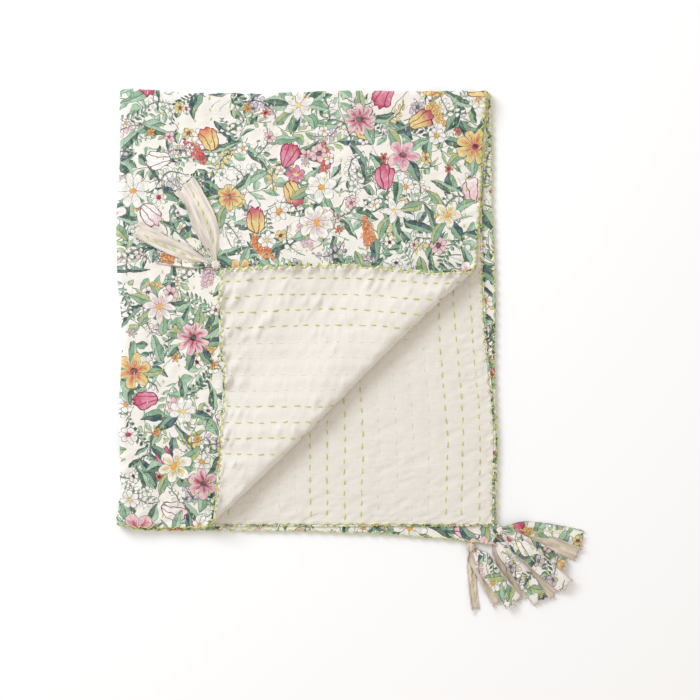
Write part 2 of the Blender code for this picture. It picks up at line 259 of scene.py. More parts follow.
# How far past the turn line the running stitches go on the front, and from where they show on plain cloth
FRONT_STITCHES_TO = 0.075
FLAP_STITCHES_FROM = -0.02
SECOND_STITCHES_FROM = -0.10

# A hem stitch over one face, from its far end to the hem: the share of its bite and the height over the cloth
HEM_STITCH = ((1.0, -0.0005), (0.85, 0.0005), (0.5, 0.0006), (0.15, 0.0006))

# The tassels, as in the part's source, with the side of each strip that faces up and how far it twists.
# Headings, bends and twists are in degrees
STRIP_THICKNESS = 0.0020
STRIP_LEVEL = 0.0027
ROOT_WIDTH = 0.005
HEAD_RADIUS = 0.0065
HEAD_HALF_HEIGHT = 0.0016
HEAD_CLEARANCE = 0.0003
Strip = namedtuple("Strip", "heading bend length width level up twist")
TASSELS = {
    "tassel_turned": {
        "corner": (1, -1),
        "head": "plain",
        "aside": 0.0,
        "hold": 0.004,
        "widen": 0.48,
        "strips": (
            Strip(98, 26, 0.116, 0.034, 1, "plain", 8),
            Strip(128, 8, 0.082, 0.018, 0, "print", -6),
            Strip(160, -8, 0.118, 0.021, 1, "plain", -10),
            Strip(176, -6, 0.080, 0.016, 0, "print", 8),
        ),
    },
    "tassel_second": {
        "corner": (1, 1),
        "head": "print",
        "aside": 0.0,
        "hold": 0.018,
        "widen": 0.30,
        "strips": (
            Strip(0, -14, 0.116, 0.026, 0, "print", 10),
            Strip(-14, -6, 0.114, 0.022, 1, "plain", -14),
            Strip(-26, -4, 0.102, 0.020, 2, "print", 16),
            Strip(-37, -4, 0.120, 0.026, 3, "print", -10),
        ),
    },
    "tassel_bottom": {
        "corner": (-1, -1),
        "head": "plain",
        "aside": 0.0,
        "hold": 0.004,
        "widen": 0.26,
        "strips": (
            Strip(-42, -2, 0.118, 0.024, 0, "plain", 8),
            Strip(-55, 0, 0.112, 0.024, 1, "print", -12),
            Strip(-68, 2, 0.098, 0.022, 0, "plain", 6),
        ),
    },
    "tassel_third": {
        "corner": (-1, 1),
        "head": "plain",
        "aside": 0.033,
        "hold": 0.004,
        "widen": 0.26,
        "strips": (
            Strip(-50, -4, 0.094, 0.027, 2, "print", 14),
            Strip(-62, 0, 0.084, 0.022, 1, "plain", -10),
            Strip(-89, 7, 0.084, 0.011, 0, "plain", 8),
        ),
    },
}
STRIP_STATIONS = 36
STRIP_ACROSS = 18
# How dark and how light the painted shade of a strip's creases makes its colour
STRIP_CREASE_PAINTED_SHADES = (0.74, 1.04)
STRIP_THREAD = 0.0023
STRIP_STITCH_SLANT = -0.08
STRIP_CURL = 0.10
STRIP_CROWN = 0.07
STRIP_CRUMPLE = 0.0016
ROLL_RADIUS = 0.0019
ROLL_SHARE = 0.38
GATHER = 0.0013
STRIP_SKIN = 0.0015
TORN_EDGE = 0.0009
TORN_END = 0.0050
FRAYS_AT_END = 16
FRAYS_ALONG = 14
FRAY_LENGTH = 0.0090
FRAY_WIDTH = 0.00046
FRAY_POINTS = 4
FRAY_BEND = 0.35
FRAY_SAG = 0.0006
FRAY_TAPER = 0.45
FRAY_LEAST = 0.0002
FRAY_ROOT = 0.001
FRAY_END_SHARES = (0.4, 1.0)
FRAY_EDGE_SHARES = (0.2, 0.55)
FRAY_LEANS = (0.4, 1.6)

# A strip's shape. A noise has a level and a swing to either side of it, and waves are counts of it
STRIP_TWISTS = 1.4
ROLL_LEVEL = 0.35
ROLL_SWING = 1.1
ROLL_WAVES = 2.2
ROLL_FULL_AT = 0.5
OPEN_AT = 0.3
TORN_WAVES = (14, 3)
TORN_END_WAVES = 4.5
TORN_END_FROM = 0.9
CURL_BASE = 0.35
CURL_LEVEL = 0.4
CURL_SWING = 0.9
CURL_WAVES = 2.5
CURL_LEAST = -0.0008
CRUMPLE_WAVES = (1.8, 6)
GATHER_LOSS = 0.85
GATHER_TO = 0.9
GATHER_WAVES = 8
GATHER_TURN = 2
UNDER_GAP = 0.0001

# A green stitch on a strip: stations from its middle, height over the strip's face and girth
STRIP_STITCH = ((-1, -0.0001, 0.75), (0, 0.0004, 1.0), (1, -0.0001, 0.75))
STRIP_STITCH_OFF = 0.22
FIRST_STRIP_STITCH = 10
STRIP_STITCH_STEP = 4

# A tassel's head
HEAD_PLEATS = 9
HEAD_RISE = 0.0042
HEAD_RINGS = 12
SPOKES_A_PLEAT = 6
HEAD_TOP = 0.9
HEAD_BLUNTNESS = 0.8
HEAD_PLEAT_DEPTH = 0.13
HEAD_PLEAT_SWAY = 0.8
HEAD_WAVE = 0.10
HEAD_WAVES = 3
HEAD_FROM_ALONG = -0.096

# Colours, linear
CREAM = (0.800, 0.760, 0.700)
# The plain cream of the pile's strips, darkened and warmed with painted shade
SHADED_STRIP_CREAM = (0.700, 0.600, 0.505)
# The plain cream of the turned corner's strips, with a lighter painted shade
LIGHTLY_SHADED_STRIP_CREAM = (0.800, 0.725, 0.645)
PRINT_GROUND = (0.870, 0.830, 0.780)
INK = (0.026, 0.038, 0.036)
WINE = (0.165, 0.018, 0.045)
TEAL = (0.034, 0.088, 0.105)
FOREST = (0.048, 0.128, 0.082)
SAGE = (0.215, 0.390, 0.255)
MINT = (0.385, 0.580, 0.415)
LIME = (0.420, 0.500, 0.220)
WHITE = (0.880, 0.860, 0.815)
BLUSH = (0.800, 0.545, 0.575)
PINK = (0.700, 0.215, 0.330)
MAGENTA = (0.500, 0.035, 0.110)
CORAL = (0.680, 0.150, 0.075)
GOLD = (0.740, 0.360, 0.060)
YELLOW = (0.760, 0.590, 0.230)
LILAC = (0.600, 0.490, 0.580)
GREEN_THREAD = (0.630, 0.700, 0.200)
PALE_THREAD = (0.920, 0.890, 0.830)
PALE_FLOOR = (0.980, 0.985, 1.000)


def smooth(share):
    share = min(max(share, 0.0), 1.0)
    return share * share * (3 - 2 * share)


# ---- Where the cloth lies ----

def quarter_of(across, along):
    """The name of the layer that a place on the cut belongs to."""
    if across >= 0:
        return "top" if along < 0 else "second"
    return "third" if along > 0 else "bottom"


def bowed(place, bows):
    """How far a hem bows out at a place along it."""
    return sum(out * (1 - smooth(abs(place - middle) / reach)) for middle, reach, out in bows)


def hem_slip(across, along):
    """How far a place has slipped sideways and downwards."""
    slip = SLIPS[quarter_of(across, along)]
    right, down = abs(across) / HALF_WIDTH, abs(along) / HALF_LENGTH
    settled = 1 - (1 - min(down / slip.settles, 1.0)) ** 2
    side = slip.fold + (slip.side - slip.fold) * settled
    side -= slip.drawn_in * smooth(down / DRAWN_IN_AT) * (1 - smooth((down - DRAWN_IN_AT) / DRAWN_IN_EASE))
    wave = HEM_WAVE * math.sin(2 * math.pi * along / HEM_WAVE_LENGTH)
    end = END_AT_FOLD + (slip.end - END_AT_FOLD) * smooth(abs(across) / END_SETTLES)
    end += (slip.corner - slip.end) * right**CORNER_FLARE
    if quarter_of(across, along) == "top":
        side += bowed(abs(along), TOP_BOWS["side"])
        end += bowed(abs(across), TOP_BOWS["end"])
    return (side + wave) * right**2, end * down**2


def top_fold(along, lift):
    """(y, height off the doubled sheet's middle) where the cut is folded over its top edge."""
    quarter_turn = TOP_RADIUS * math.pi / 2
    if abs(along) <= quarter_turn:
        turn = along / TOP_RADIUS
        return (TOP_RADIUS + lift) * math.cos(turn) - TOP_RADIUS, -(TOP_RADIUS + lift) * math.sin(turn)
    past = abs(along) - quarter_turn
    height = PITCH / 2 + fullness(past) + lift
    return -(TOP_RADIUS + past), math.copysign(height, -along)


def fullness(past_top_fold):
    return TOP_FULLNESS * (1 - smooth(past_top_fold / EASE))


def left_fold(across, height, extra):
    """(x, z) where the doubled sheet is folded under at its left edge."""
    radius = PITCH + LEFT_FULLNESS + extra
    quarter_turn = radius * math.pi / 2
    half = PITCH / 2 + extra
    if abs(across) <= quarter_turn:
        turn = across / radius
        middle = QUILT / 2 + radius + half
        return radius - (radius + height) * math.cos(turn), middle + (radius + height) * math.sin(turn)
    past = abs(across) - quarter_turn
    rise = PITCH + extra + LEFT_FULLNESS * (1 - smooth(past / EASE))
    middle = QUILT / 2 + rise + half
    return radius + past, middle + math.copysign(rise + height, across)


def turn_line():
    """A point on the line where the corner starts to lift, the line's direction and the way to the corner."""
    on_side = Vector((HALF_WIDTH, -TURN_DOWN_SIDE))
    on_end = Vector((TURN_ALONG_END, -HALF_LENGTH))
    direction = (on_end - on_side).normalized()
    return on_side, direction, Vector((-direction.y, direction.x)), (on_end - on_side).length


def past_turn(x, y):
    """How far past the turn line a place of the top layer lies, before it is rolled back."""
    start, direction, to_corner, length = turn_line()
    offset = Vector((x, y)) - start
    run = offset.dot(direction)
    return offset.dot(to_corner) + TURN_BOW * math.sin(2 * math.pi * run / length)


def turned(x, y, z, lift):
    """The top layer's point (x, y, z), rolled back over the layer where it lies past the turn line."""
    past = past_turn(x, y)
    if past <= 0:
        return Vector((x, y, z))
    ground = z - lift
    half_turn = TURN_RADIUS * math.pi
    if past < half_turn:
        turn = past / TURN_RADIUS
        out = (TURN_RADIUS - lift) * math.sin(turn)
        height = TURN_RADIUS - (TURN_RADIUS - lift) * math.cos(turn)
    else:
        out = half_turn - past
        drop = (2 * TURN_RADIUS - PITCH) * smooth((past - half_turn) / SETTLE)
        height = 2 * TURN_RADIUS - drop - lift
    place = Vector((x, y)) + TO_CORNER * (out - past)
    return Vector((place.x, place.y, ground + height))


TO_CORNER = turn_line()[2]


def in_from_line(place, line):
    """How far in a fold lies at a place along it."""
    for (start, first), (end, last) in zip(line, line[1:]):
        if place <= end:
            return first + (last - first) * smooth((place - start) / (end - start))
    return line[-1][1]


def fold_slip(x, y):
    """How far sideways and downwards a place lies because the folds beside it aren't straight."""
    side = in_from_line(-y, FOLD_COURSES["left"]) * (1 - smooth(x / FOLD_COURSE_REACH))
    down = in_from_line(x, FOLD_COURSES["top"]) * (1 - smooth(-y / FOLD_COURSE_REACH))
    return Vector((side, -down, 0.0))


def lay(across, along, lift):
    """Where a point of the cut cloth lies in the folded quilt, in the frame."""
    y, height = top_fold(along, lift)
    extra = fullness(max(0.0, abs(along) - TOP_RADIUS * math.pi / 2))
    x, z = left_fold(across, height, extra)
    side, end = hem_slip(across, along)
    x, y = x + side, y - end
    place = Vector((x, y, z))
    if quarter_of(across, along) == "top" and x > TURN_ALONG_END / 2:
        place = turned(x, y, z, lift)
    return place + fold_slip(place.x, place.y) + STACK


# ---- The relief of the two cloths ----

def stitch_rows():
    """Where the rows of stitches cross the upper half of the cut, from the fold to the side hem."""
    return sorted(HALF_WIDTH - FIRST_ROW - ROW_PITCH * row for row in range(ROWS_A_SIDE))


ROWS = stitch_rows()


def plumpness(across):
    """1 on the crown between two rows of stitches, and PINCH along a row. The lower half is left smooth."""
    if across < ROWS[0] / 2:
        return 1.0
    after = bisect_left(ROWS, across)
    nearest = min(abs(across - row) for row in ROWS[max(0, after - 1) : after + 1])
    return PINCH + (1 - PINCH) * smooth(nearest / (ROW_PITCH / 2))


def wander(x, y, seed):
    """Even noise from -1 to 1, about 1 apart from crest to crest."""
    return noise.noise((x, y, seed))


def shown(across, along, face):
    """The layer that a place of a face shows in from above, and how fully: 0 where the stack covers it."""
    past = past_turn(across, -abs(along))
    name = quarter_of(across, along)
    middle_of_roll = TURN_RADIUS * math.pi / 2
    if face == "print":
        before = middle_of_roll + FRONT_PAST_ROLL - past
        return "front", smooth(before / SHOWN_FADE) if name == "top" else 0.0
    if name == "top":
        return "flap", smooth((past - middle_of_roll) / SHOWN_FADE)
    return "second", smooth((past + SECOND_BEFORE_TURN) / SECOND_FADE) if name == "second" else 0.0


def pucker(across, along, seed):
    """The short creases that a running stitch draws up across its row, and the cloth's own crumple."""
    sway = PUCKER_SWAY * wander(across / PUCKER_SWAY_WIDTH, along / PUCKER_SWAY_LENGTH, seed + 3.1)
    run = abs(along) + sway + PUCKER_SLANT * across
    crease = wander(across / PUCKER_WIDTH, run / PUCKER_LENGTH, seed)
    crinkle = wander(across / CRINKLE_WIDTH, run / CRINKLE_LENGTH, seed + 5.9)
    crumple = wander(across / CRUMPLE_SIZE, along / CRUMPLE_SIZE, seed + 7.7)
    swing = wander(across / PUCKER_SWING_SIZE, along / PUCKER_SWING_SIZE, seed + 11.3)
    strength = PUCKER_STRENGTH + PUCKER_SWING * swing
    strength += PUCKER_AT_HEM * smooth(1 - inset(across, along) / HEM_PULL)
    return PUCKER * crease * strength + CRINKLE * crinkle * strength + CRUMPLE * crumple


def crease_at(layer, right, down):
    """The height of the main creases at a place seen from above."""
    height = 0.0
    for name, (x0, y0), (x1, y1), half_width, rise in CREASES:
        if name != layer or not min(x0, x1) - CREASE_MARGIN < right < max(x0, x1) + CREASE_MARGIN:
            continue
        if not min(y0, y1) - CREASE_MARGIN < down < max(y0, y1) + CREASE_MARGIN:
            continue
        length = math.hypot(x1 - x0, y1 - y0)
        run = ((right - x0) * (x1 - x0) + (down - y0) * (y1 - y0)) / length
        off = ((right - x0) * (y1 - y0) - (down - y0) * (x1 - x0)) / length
        off += CREASE_SWAY * wander(run / CREASE_SWAY_LENGTH, x0 * 90, y0 * 50)
        ease = CREASE_END_EASE * half_width
        fade = smooth((run + half_width) / ease) * smooth((length + half_width - run) / ease)
        height += rise * fade * (1 - smooth(abs(off) / (CREASE_SIDE_EASE * half_width)))
    return height * CREASE_DEPTH


def billow(across, along):
    """How far the whole quilt, both cloths together, stands off where lay() puts it, never downwards."""
    name = quarter_of(across, along)
    height = BILLOWS[name]
    if name == "top":
        flap = smooth((past_turn(across, -abs(along)) - TURN_RADIUS * math.pi) / FLAP_BILLOW_EASE)
        height += (FLAP_BILLOW - height) * flap
    swell = SWELL + SWELL_SWING * wander(across / BILLOW_SIZE, along / BILLOW_SIZE, 21.5)
    return height * min(max(swell, 0.0), 1.0)


def inset(across, along):
    """The distance to the nearest hem."""
    return min(HALF_WIDTH - abs(across), HALF_LENGTH - abs(along))


def scallop_share(run, pitch):
    """1 where a hem stitch draws the edge in, and 0 halfway to the next."""
    loose = run + SCALLOP_SWAY * wander(run / SCALLOP_SWAY_LENGTH, 0.0, 5.5)
    return (0.5 + 0.5 * math.cos(2 * math.pi * loose / pitch)) ** SCALLOP_SHARPNESS


FACES = {"print": {"sign": 1, "seed": 1.5, "rim": 0.0}, "plain": {"sign": -1, "seed": 40.5, "rim": RIM}}


def drawn_in(across, along, face):
    """The place on the cut once hem stitches have scalloped its edge. The plain cloth stops short of it."""
    to_side, to_end = HALF_WIDTH - abs(across), HALF_LENGTH - abs(along)
    rim = FACES[face]["rim"]
    side = SCALLOP * scallop_share(along, SIDE_PITCH) * smooth(1 - to_side / SCALLOP_REACH)
    side += rim * smooth(1 - to_side / RIM_EASE)
    end = SCALLOP * scallop_share(across, END_PITCH) * smooth(1 - to_end / SCALLOP_REACH)
    end += rim * smooth(1 - to_end / RIM_EASE)
    return across - math.copysign(side, across), along - math.copysign(end, along)


def skin(across, along, face):
    """The thickness of a cloth with its half of the quilting, from the inner face to the outer one."""
    thick = CLOTH * plumpness(across)
    if across > 0:
        layer, share = shown(across, along, face)
        drawn_up = max(share * PUCKER_SHARES[layer], COVERED_SHARE)
        thick += pucker(across, along, FACES[face]["seed"]) * drawn_up + LOFT * share
        if share:
            seen = lay(across, along, 0.0) - STACK
            thick += crease_at(layer, seen.x, -seen.y) * share
    edge = inset(across, along)
    thick += HEM_RIDGE * (1 - smooth((edge - HEM_FOLD) / HEM_RIDGE_EASE))
    nose = 1 - min(edge / HEM_ROUND, 1.0)
    return max(thick, LEAST_SKIN) * math.sqrt(max(1 - nose**2, HEM_BLUNTNESS))


def lay_with_billow(across, along, lift, face):
    """lay(), with the quilt's soft swells, and never under the ground."""
    across, along = drawn_in(across, along, face)
    place = lay(across, along, lift)
    return Vector((place.x, place.y, max(place.z + billow(across, along), 0.0)))


def on_face(across, along, face, above=0.0):
    """A place on a cloth's outer face, or above it."""
    lift = FACES[face]["sign"] * (SEAM / 2 + skin(across, along, face) + above)
    place = lay_with_billow(across, along, lift, face)
    place.z = max(place.z, above)
    return place


def on_inner_face(across, along, face):
    """A place on a cloth's inner face. The print's comes round to the plain side in the rim there."""
    lift = FACES[face]["sign"] * SEAM / 2
    if face == "print":
        lift -= RIM_DEPTH * smooth((RIM - inset(across, along)) / RIM_STEP)
    return lay_with_billow(across, along, lift, face)


def off_edge(across, along):
    """A place just outside the hem, where a thread goes round it."""
    place = lay_with_billow(across, along, 0.0, "print")
    place.z = max(place.z, HEM_THREAD / 2)
    return place


# ---- Cloth meshes ----

def stretch(start, end, step):
    """Evenly spread places from start up to but not at end, about step apart."""
    count = max(1, round((end - start) / step))
    return [start + (end - start) * index / count for index in range(count)]


def hem_lines(half):
    """The lines just inside both hems."""
    return [sign * (half - gap) for gap in HEM_INSETS for sign in (-1, 1)]


def fold_lines(radius):
    quarter_turn = radius * math.pi / 2
    return [quarter_turn * (2 * step / FOLD_STEPS - 1) for step in range(FOLD_STEPS + 1)]


def tidy_lines(lines, least=0.00025):
    """The lines in order, with those left out that lie on another."""
    kept = []
    for line in sorted(lines):
        if not kept or line - kept[-1] > least:
            kept.append(line)
    return kept


def grid_lines(face):
    """The columns and rows of points on a cloth's outer face."""
    across_edge, along_edge = HALF_WIDTH - HEM_INSETS[-1], HALF_LENGTH - HEM_INSETS[-1]
    left = PITCH + LEFT_FULLNESS + TOP_FULLNESS
    columns = hem_lines(HALF_WIDTH) + fold_lines(left)
    rows = hem_lines(HALF_LENGTH) + fold_lines(TOP_RADIUS)
    left_turn, top_turn = left * math.pi / 2, TOP_RADIUS * math.pi / 2
    hem_band = 0.030
    columns += stretch(-across_edge, -across_edge + hem_band, HEM_ROW)
    columns += stretch(-across_edge + hem_band, -left_turn - EASE, COVERED)
    columns += stretch(-left_turn - EASE, -left_turn, COVERED / 2)
    if face == "print":
        columns += stretch(left_turn, across_edge, FINE_COLUMN)
        rows += stretch(-along_edge, -top_turn, FINE_ROW)
        rows += stretch(top_turn, along_edge, HEM_ROW)
    else:
        shows_across, shows_along = 0.085, 0.200
        columns += stretch(left_turn, shows_across, COVERED / 2)
        columns += stretch(shows_across, across_edge, FINE_COLUMN)
        rows += stretch(-along_edge, -shows_along, FINE_ROW)
        rows += stretch(-shows_along, -top_turn, COVERED / 2)
        rows += stretch(top_turn, shows_along, COVERED / 2)
        rows += stretch(shows_along, along_edge, FINE_ROW)
    return tidy_lines(columns), tidy_lines(rows)


def inner_lines(lines):
    """Wider spaced lines for the hidden face, which keep the folds' and the hems' own."""
    kept = [lines[0]]
    for line in lines[1:-1]:
        to_hem = min(line - lines[0], lines[-1] - line)
        if line - kept[-1] > INNER_STEP or abs(line) < INNER_STEP or to_hem < INNER_HEM:
            kept.append(line)
    return kept + [lines[-1]]


def border_of(columns, rows):
    """The indices (column, row) round a grid's border, in order, from its first corner."""
    last_column, last_row = len(columns) - 1, len(rows) - 1
    loop = [(column, 0) for column in range(last_column)]
    loop += [(last_column, row) for row in range(last_row)]
    loop += [(column, last_row) for column in range(last_column, 0, -1)]
    loop += [(0, row) for row in range(last_row, 0, -1)]
    return loop


def round_border(columns, rows, loop):
    """How far round the cut's border each of its grid points is, from 0 to 1."""
    total, runs, last = 0.0, [], None
    for column, row in loop:
        place = Vector((columns[column], rows[row]))
        total += (place - last).length if last else 0.0
        runs.append(total)
        last = place
    return [run / (2 * (CUT_WIDTH + CUT_LENGTH)) for run in runs]


def on_map(across, along):
    """A place on the cut as a place on the pieces' own map, which is named cut."""
    return across / CUT_WIDTH + 0.5, along / CUT_LENGTH + 0.5


class Shell:
    """The points and faces of a closed sheet, with each point's place on the cut."""

    def __init__(self):
        self.points = []
        self.places = []
        self.faces = []

    def add_grid(self, columns, rows, put, flip):
        """A grid of quads. put gives the point at a place on the cut."""
        first = len(self.points)
        for row in rows:
            for column in columns:
                self.points.append(put(column, row))
                self.places.append((column, row))
        wide = len(columns)
        for row in range(len(rows) - 1):
            for column in range(wide - 1):
                corner = first + row * wide + column
                face = (corner, corner + 1, corner + wide + 1, corner + wide)
                self.faces.append(face[::-1] if flip else face)
        loop = border_of(columns, rows)
        return [first + row * wide + column for column, row in loop], round_border(columns, rows, loop)

    def close(self, outer, inner, flip):
        """Triangles between two borders, each a loop of points and how far round each one is."""
        (outer_loop, outer_runs), (inner_loop, inner_runs) = outer, inner
        outer_runs, inner_runs = outer_runs + [1.0], inner_runs + [1.0]
        a = b = 0
        while a < len(outer_loop) or b < len(inner_loop):
            here, there = outer_loop[a % len(outer_loop)], inner_loop[b % len(inner_loop)]
            outer_next = outer_runs[a + 1] if a < len(outer_loop) else 2.0
            inner_next = inner_runs[b + 1] if b < len(inner_loop) else 2.0
            if outer_next <= inner_next:
                a += 1
                face = (here, there, outer_loop[a % len(outer_loop)])
            else:
                b += 1
                face = (here, there, inner_loop[b % len(inner_loop)])
            self.faces.append(face[::-1] if flip else face)

    def to_object(self, name, surface):
        mesh = bpy.data.meshes.new(name)
        mesh.from_pydata(self.points, [], self.faces)
        layer = mesh.uv_layers.new(name="cut")
        for loop in mesh.loops:
            across, along = self.places[loop.vertex_index]
            layer.data[loop.index].uv = on_map(across, along)
        mesh.materials.append(surface)
        mesh.shade_smooth()
        return add_object(name, mesh)


def add_object(name, mesh):
    obj = bpy.data.objects.new(name, mesh)
    bpy.context.scene.collection.objects.link(obj)
    return obj


def cloth(name, face, surface):
    """A cloth as a closed sheet: a detailed outer face, a plain inner one, and the hem between them."""
    sign = FACES[face]["sign"]
    shell = Shell()
    columns, rows = grid_lines(face)
    outer = shell.add_grid(columns, rows, lambda u, v: on_face(u, v, face), sign < 0)
    inner_columns, inner_rows = inner_lines(columns), inner_lines(rows)
    inside = shell.add_grid(inner_columns, inner_rows, lambda u, v: on_inner_face(u, v, face), sign > 0)
    shell.close(outer, inside, sign < 0)
    return shell.to_object(name, surface)


# ---- Threads, by Geometry Nodes ----

def feed(socket, value):
    """Sets an input, or links it where the value comes from another node."""
    source = getattr(value, "socket", value)
    if isinstance(source, bpy.types.NodeSocket):
        socket.id_data.links.new(source, socket)
    elif isinstance(source, tuple):
        socket.default_value = (*source, 1.0)
    else:
        socket.default_value = source


def feed_all(sockets, values):
    """Feeds several inputs by name. An underscore in a name stands for a space."""
    for label, value in values.items():
        feed(sockets[label.replace("_", " ")], value)


def place_node(tree, kind, **inputs):
    """Puts a node in a tree, with its inputs fed by name, and gives its outputs."""
    node = tree.nodes.new(kind)
    feed_all(node.inputs, inputs)
    return node.outputs


def thread_tree():
    """Turns every line of a mesh into a round thread, thicker or thinner by each point's girth attribute."""
    tree = bpy.data.node_groups.new("threads_on_lines", "GeometryNodeTree")
    names = {}
    for name, kind, default in (
        ("Lines", "NodeSocketGeometry", None),
        ("Thread width", "NodeSocketFloat", THREAD_WIDTH),
        ("Sides", "NodeSocketInt", 6),
        ("Thread", "NodeSocketMaterial", None),
    ):
        socket = tree.interface.new_socket(name, in_out="INPUT", socket_type=kind)
        if default is not None:
            socket.default_value = default
        names[name] = socket.identifier
    tree.interface.new_socket("Threads", in_out="OUTPUT", socket_type="NodeSocketGeometry")
    given = place_node(tree, "NodeGroupInput")
    run = place_node(tree, "GeometryNodeSplineParameter")
    girth = place_node(tree, "GeometryNodeInputNamedAttribute", Name="girth")["Attribute"]
    curves = place_node(tree, "GeometryNodeMeshToCurve", Mesh=given["Lines"])["Curve"]
    curves = place_node(tree, "GeometryNodeSetCurveRadius", Curve=curves, Radius=girth)["Curve"]
    keep = "GeometryNodeStoreNamedAttribute"
    curves = place_node(tree, keep, Geometry=curves, Name="run", Value=run["Length"])["Geometry"]
    half = tree.nodes.new("ShaderNodeMath")
    half.operation = "DIVIDE"
    feed(half.inputs[0], given["Thread width"])
    feed(half.inputs[1], 2.0)
    circle = "GeometryNodeCurvePrimitiveCircle"
    ring = place_node(tree, circle, Radius=half.outputs[0], Resolution=given["Sides"])["Curve"]
    ring = place_node(tree, keep, Geometry=ring, Name="round", Value=run["Factor"])["Geometry"]
    tube = tree.nodes.new("GeometryNodeCurveToMesh")
    feed(tube.inputs["Curve"], curves)
    feed(tube.inputs["Profile Curve"], ring)
    feed(tube.inputs["Fill Caps"], True)
    if "Scale" in tube.inputs:
        feed(tube.inputs["Scale"], girth)
    made = place_node(tree, "GeometryNodeSetShadeSmooth", Geometry=tube.outputs["Mesh"])["Geometry"]
    made = place_node(tree, "GeometryNodeRealizeInstances", Geometry=made)["Geometry"]
    made = place_node(tree, "GeometryNodeSetMaterial", Geometry=made, Material=given["Thread"])["Geometry"]
    place_node(tree, "NodeGroupOutput", Threads=made)
    return tree, names


THREADS, THREAD_INPUTS = thread_tree()


def threads(name, lines, width, surface, sides=6):
    """A plain mesh of threads that follow lines. A line is a list of (point, girth)."""
    mesh = bpy.data.meshes.new(name + "_lines")
    points = [point for line in lines for point, _ in line]
    edges = []
    first = 0
    for line in lines:
        edges += [(first + step, first + step + 1) for step in range(len(line) - 1)]
        first += len(line)
    mesh.from_pydata(points, edges, [])
    girths = mesh.attributes.new("girth", "FLOAT", "POINT")
    girths.data.foreach_set("value", [girth for line in lines for _, girth in line])
    drawn = add_object(name + "_lines", mesh)
    modifier = drawn.modifiers.new("threads", "NODES")
    modifier.node_group = THREADS
    modifier[THREAD_INPUTS["Thread width"]] = width
    modifier[THREAD_INPUTS["Sides"]] = sides
    modifier[THREAD_INPUTS["Thread"]] = surface
    bpy.context.view_layer.update()
    graph = bpy.context.evaluated_depsgraph_get()
    made = bpy.data.meshes.new_from_object(drawn.evaluated_get(graph))
    made.name = name
    drawn.modifiers.remove(modifier)
    bpy.data.objects.remove(drawn)
    return add_object(name, made)


# ---- The running stitches ----

def row_is_green(row, quarter):
    return (row + ROW_SHIFT[quarter]) % (GREEN_ROWS + PALE_ROWS) < GREEN_ROWS


def stitch(made, width, stands):
    """A stitch on one face: it rises out of the cloth, bridges a little and dives in again."""
    line = []
    for step in range(STITCH_POINTS):
        share = step / (STITCH_POINTS - 1)
        arch = math.sin(math.pi * share)
        above = width * stands + THREAD_ARCH * arch if 0 < share < 1 else -width * STITCH_DIVE
        across = made["across"] + made["lean"] * (share - 0.5)
        along = made["start"] + (made["end"] - made["start"]) * share
        girth = STITCH_END_GIRTH + (1 - STITCH_END_GIRTH) * arch
        line.append((on_face(across, along, made["face"], above), girth))
    return line


def row_stitches(row, dice):
    """Every stitch of a row, from one end hem to the other: its places and the face that it shows on."""
    across = HALF_WIDTH - FIRST_ROW - ROW_PITCH * row
    along = -HALF_LENGTH + END_MARGIN + dice.uniform(0, ROW_START)
    while along < HALF_LENGTH - END_MARGIN - STITCH_PERIOD / 2:
        for face, share in (("plain", PLAIN_SHARE), ("print", 1 - PLAIN_SHARE)):
            length = STITCH_PERIOD * share * dice.uniform(1 - STITCH_JITTER, 1 + STITCH_JITTER)
            middle = along + length / 2
            drift = ROW_DRIFT * wander(middle / ROW_DRIFT_LENGTH, row * 0.9, 61.5)
            drift += STITCH_WANDER * dice.uniform(-0.5, 0.5)
            trim = THREAD_WIDTH * STITCH_TRIM
            yield {
                "face": face,
                "across": across + drift,
                "start": along + trim,
                "end": along + length - trim,
                "lean": dice.gauss(0, STITCH_LEAN),
                "quarter": quarter_of(across, middle),
            }
            along += length


def shows(made):
    """Whether a stitch can be seen from outside the stack."""
    if made["end"] > HALF_LENGTH - END_MARGIN / 2:
        return False
    if made["face"] == "print":
        return made["quarter"] == "top" and past_turn(made["across"], made["start"]) < FRONT_STITCHES_TO
    if made["quarter"] == "top":
        return past_turn(made["across"], made["start"]) > FLAP_STITCHES_FROM
    return past_turn(made["across"], -made["start"]) > SECOND_STITCHES_FROM


def running_stitches(finishes):
    """The rows of running stitches, in groups of green rows and of pale ones."""
    dice = random.Random(17)
    widths = {"green": THREAD_WIDTH, "pale": PALE_THREAD_WIDTH}
    lines = {"green": [], "pale": []}
    for row in range(ROWS_A_SIDE):
        for made in row_stitches(row, dice):
            if not shows(made):
                continue
            colour = "green" if row_is_green(row, made["quarter"]) else "pale"
            lines[colour].append(stitch(made, widths[colour], STITCH_STANDS[colour]))
    return [
        threads(f"running_stitches_{colour}", lines[colour], widths[colour], finishes[colour], 5)
        for colour in lines
    ]


# ---- The hems' overcasting ----

def hem_sides():
    """Each hem of the cut: the place at a run along it and an inset, half its length, its pitch and bite."""
    return (
        (lambda run, gap: (HALF_WIDTH - gap, run), HALF_LENGTH, SIDE_PITCH, SIDE_BITE),
        (lambda run, gap: (-HALF_WIDTH + gap, run), HALF_LENGTH, SIDE_PITCH, SIDE_BITE),
        (lambda run, gap: (run, HALF_LENGTH - gap), HALF_WIDTH, END_PITCH, END_BITE),
        (lambda run, gap: (run, -HALF_LENGTH + gap), HALF_WIDTH, END_PITCH, END_BITE),
    )


def hem_stitch(place, run, slant, bite):
    """A stitch that goes slanting out over one face, round the hem, and back over the other face."""
    path = [("print", *spot) for spot in HEM_STITCH] + [None]
    path += [("plain", *spot) for spot in reversed(HEM_STITCH)]
    line = []
    for index, spot in enumerate(path):
        along = run + slant * (index / (len(path) - 1) - 0.5)
        if spot:
            face, share, above = spot
            point = on_face(*place(along, bite * share), face, above)
            point.z = max(point.z, HEM_THREAD / 2)
        else:
            point = off_edge(*place(along, -HEM_THREAD / 2))
        line.append((point, 1.0 if 0 < index < len(path) - 1 else HEM_END_GIRTH))
    return line


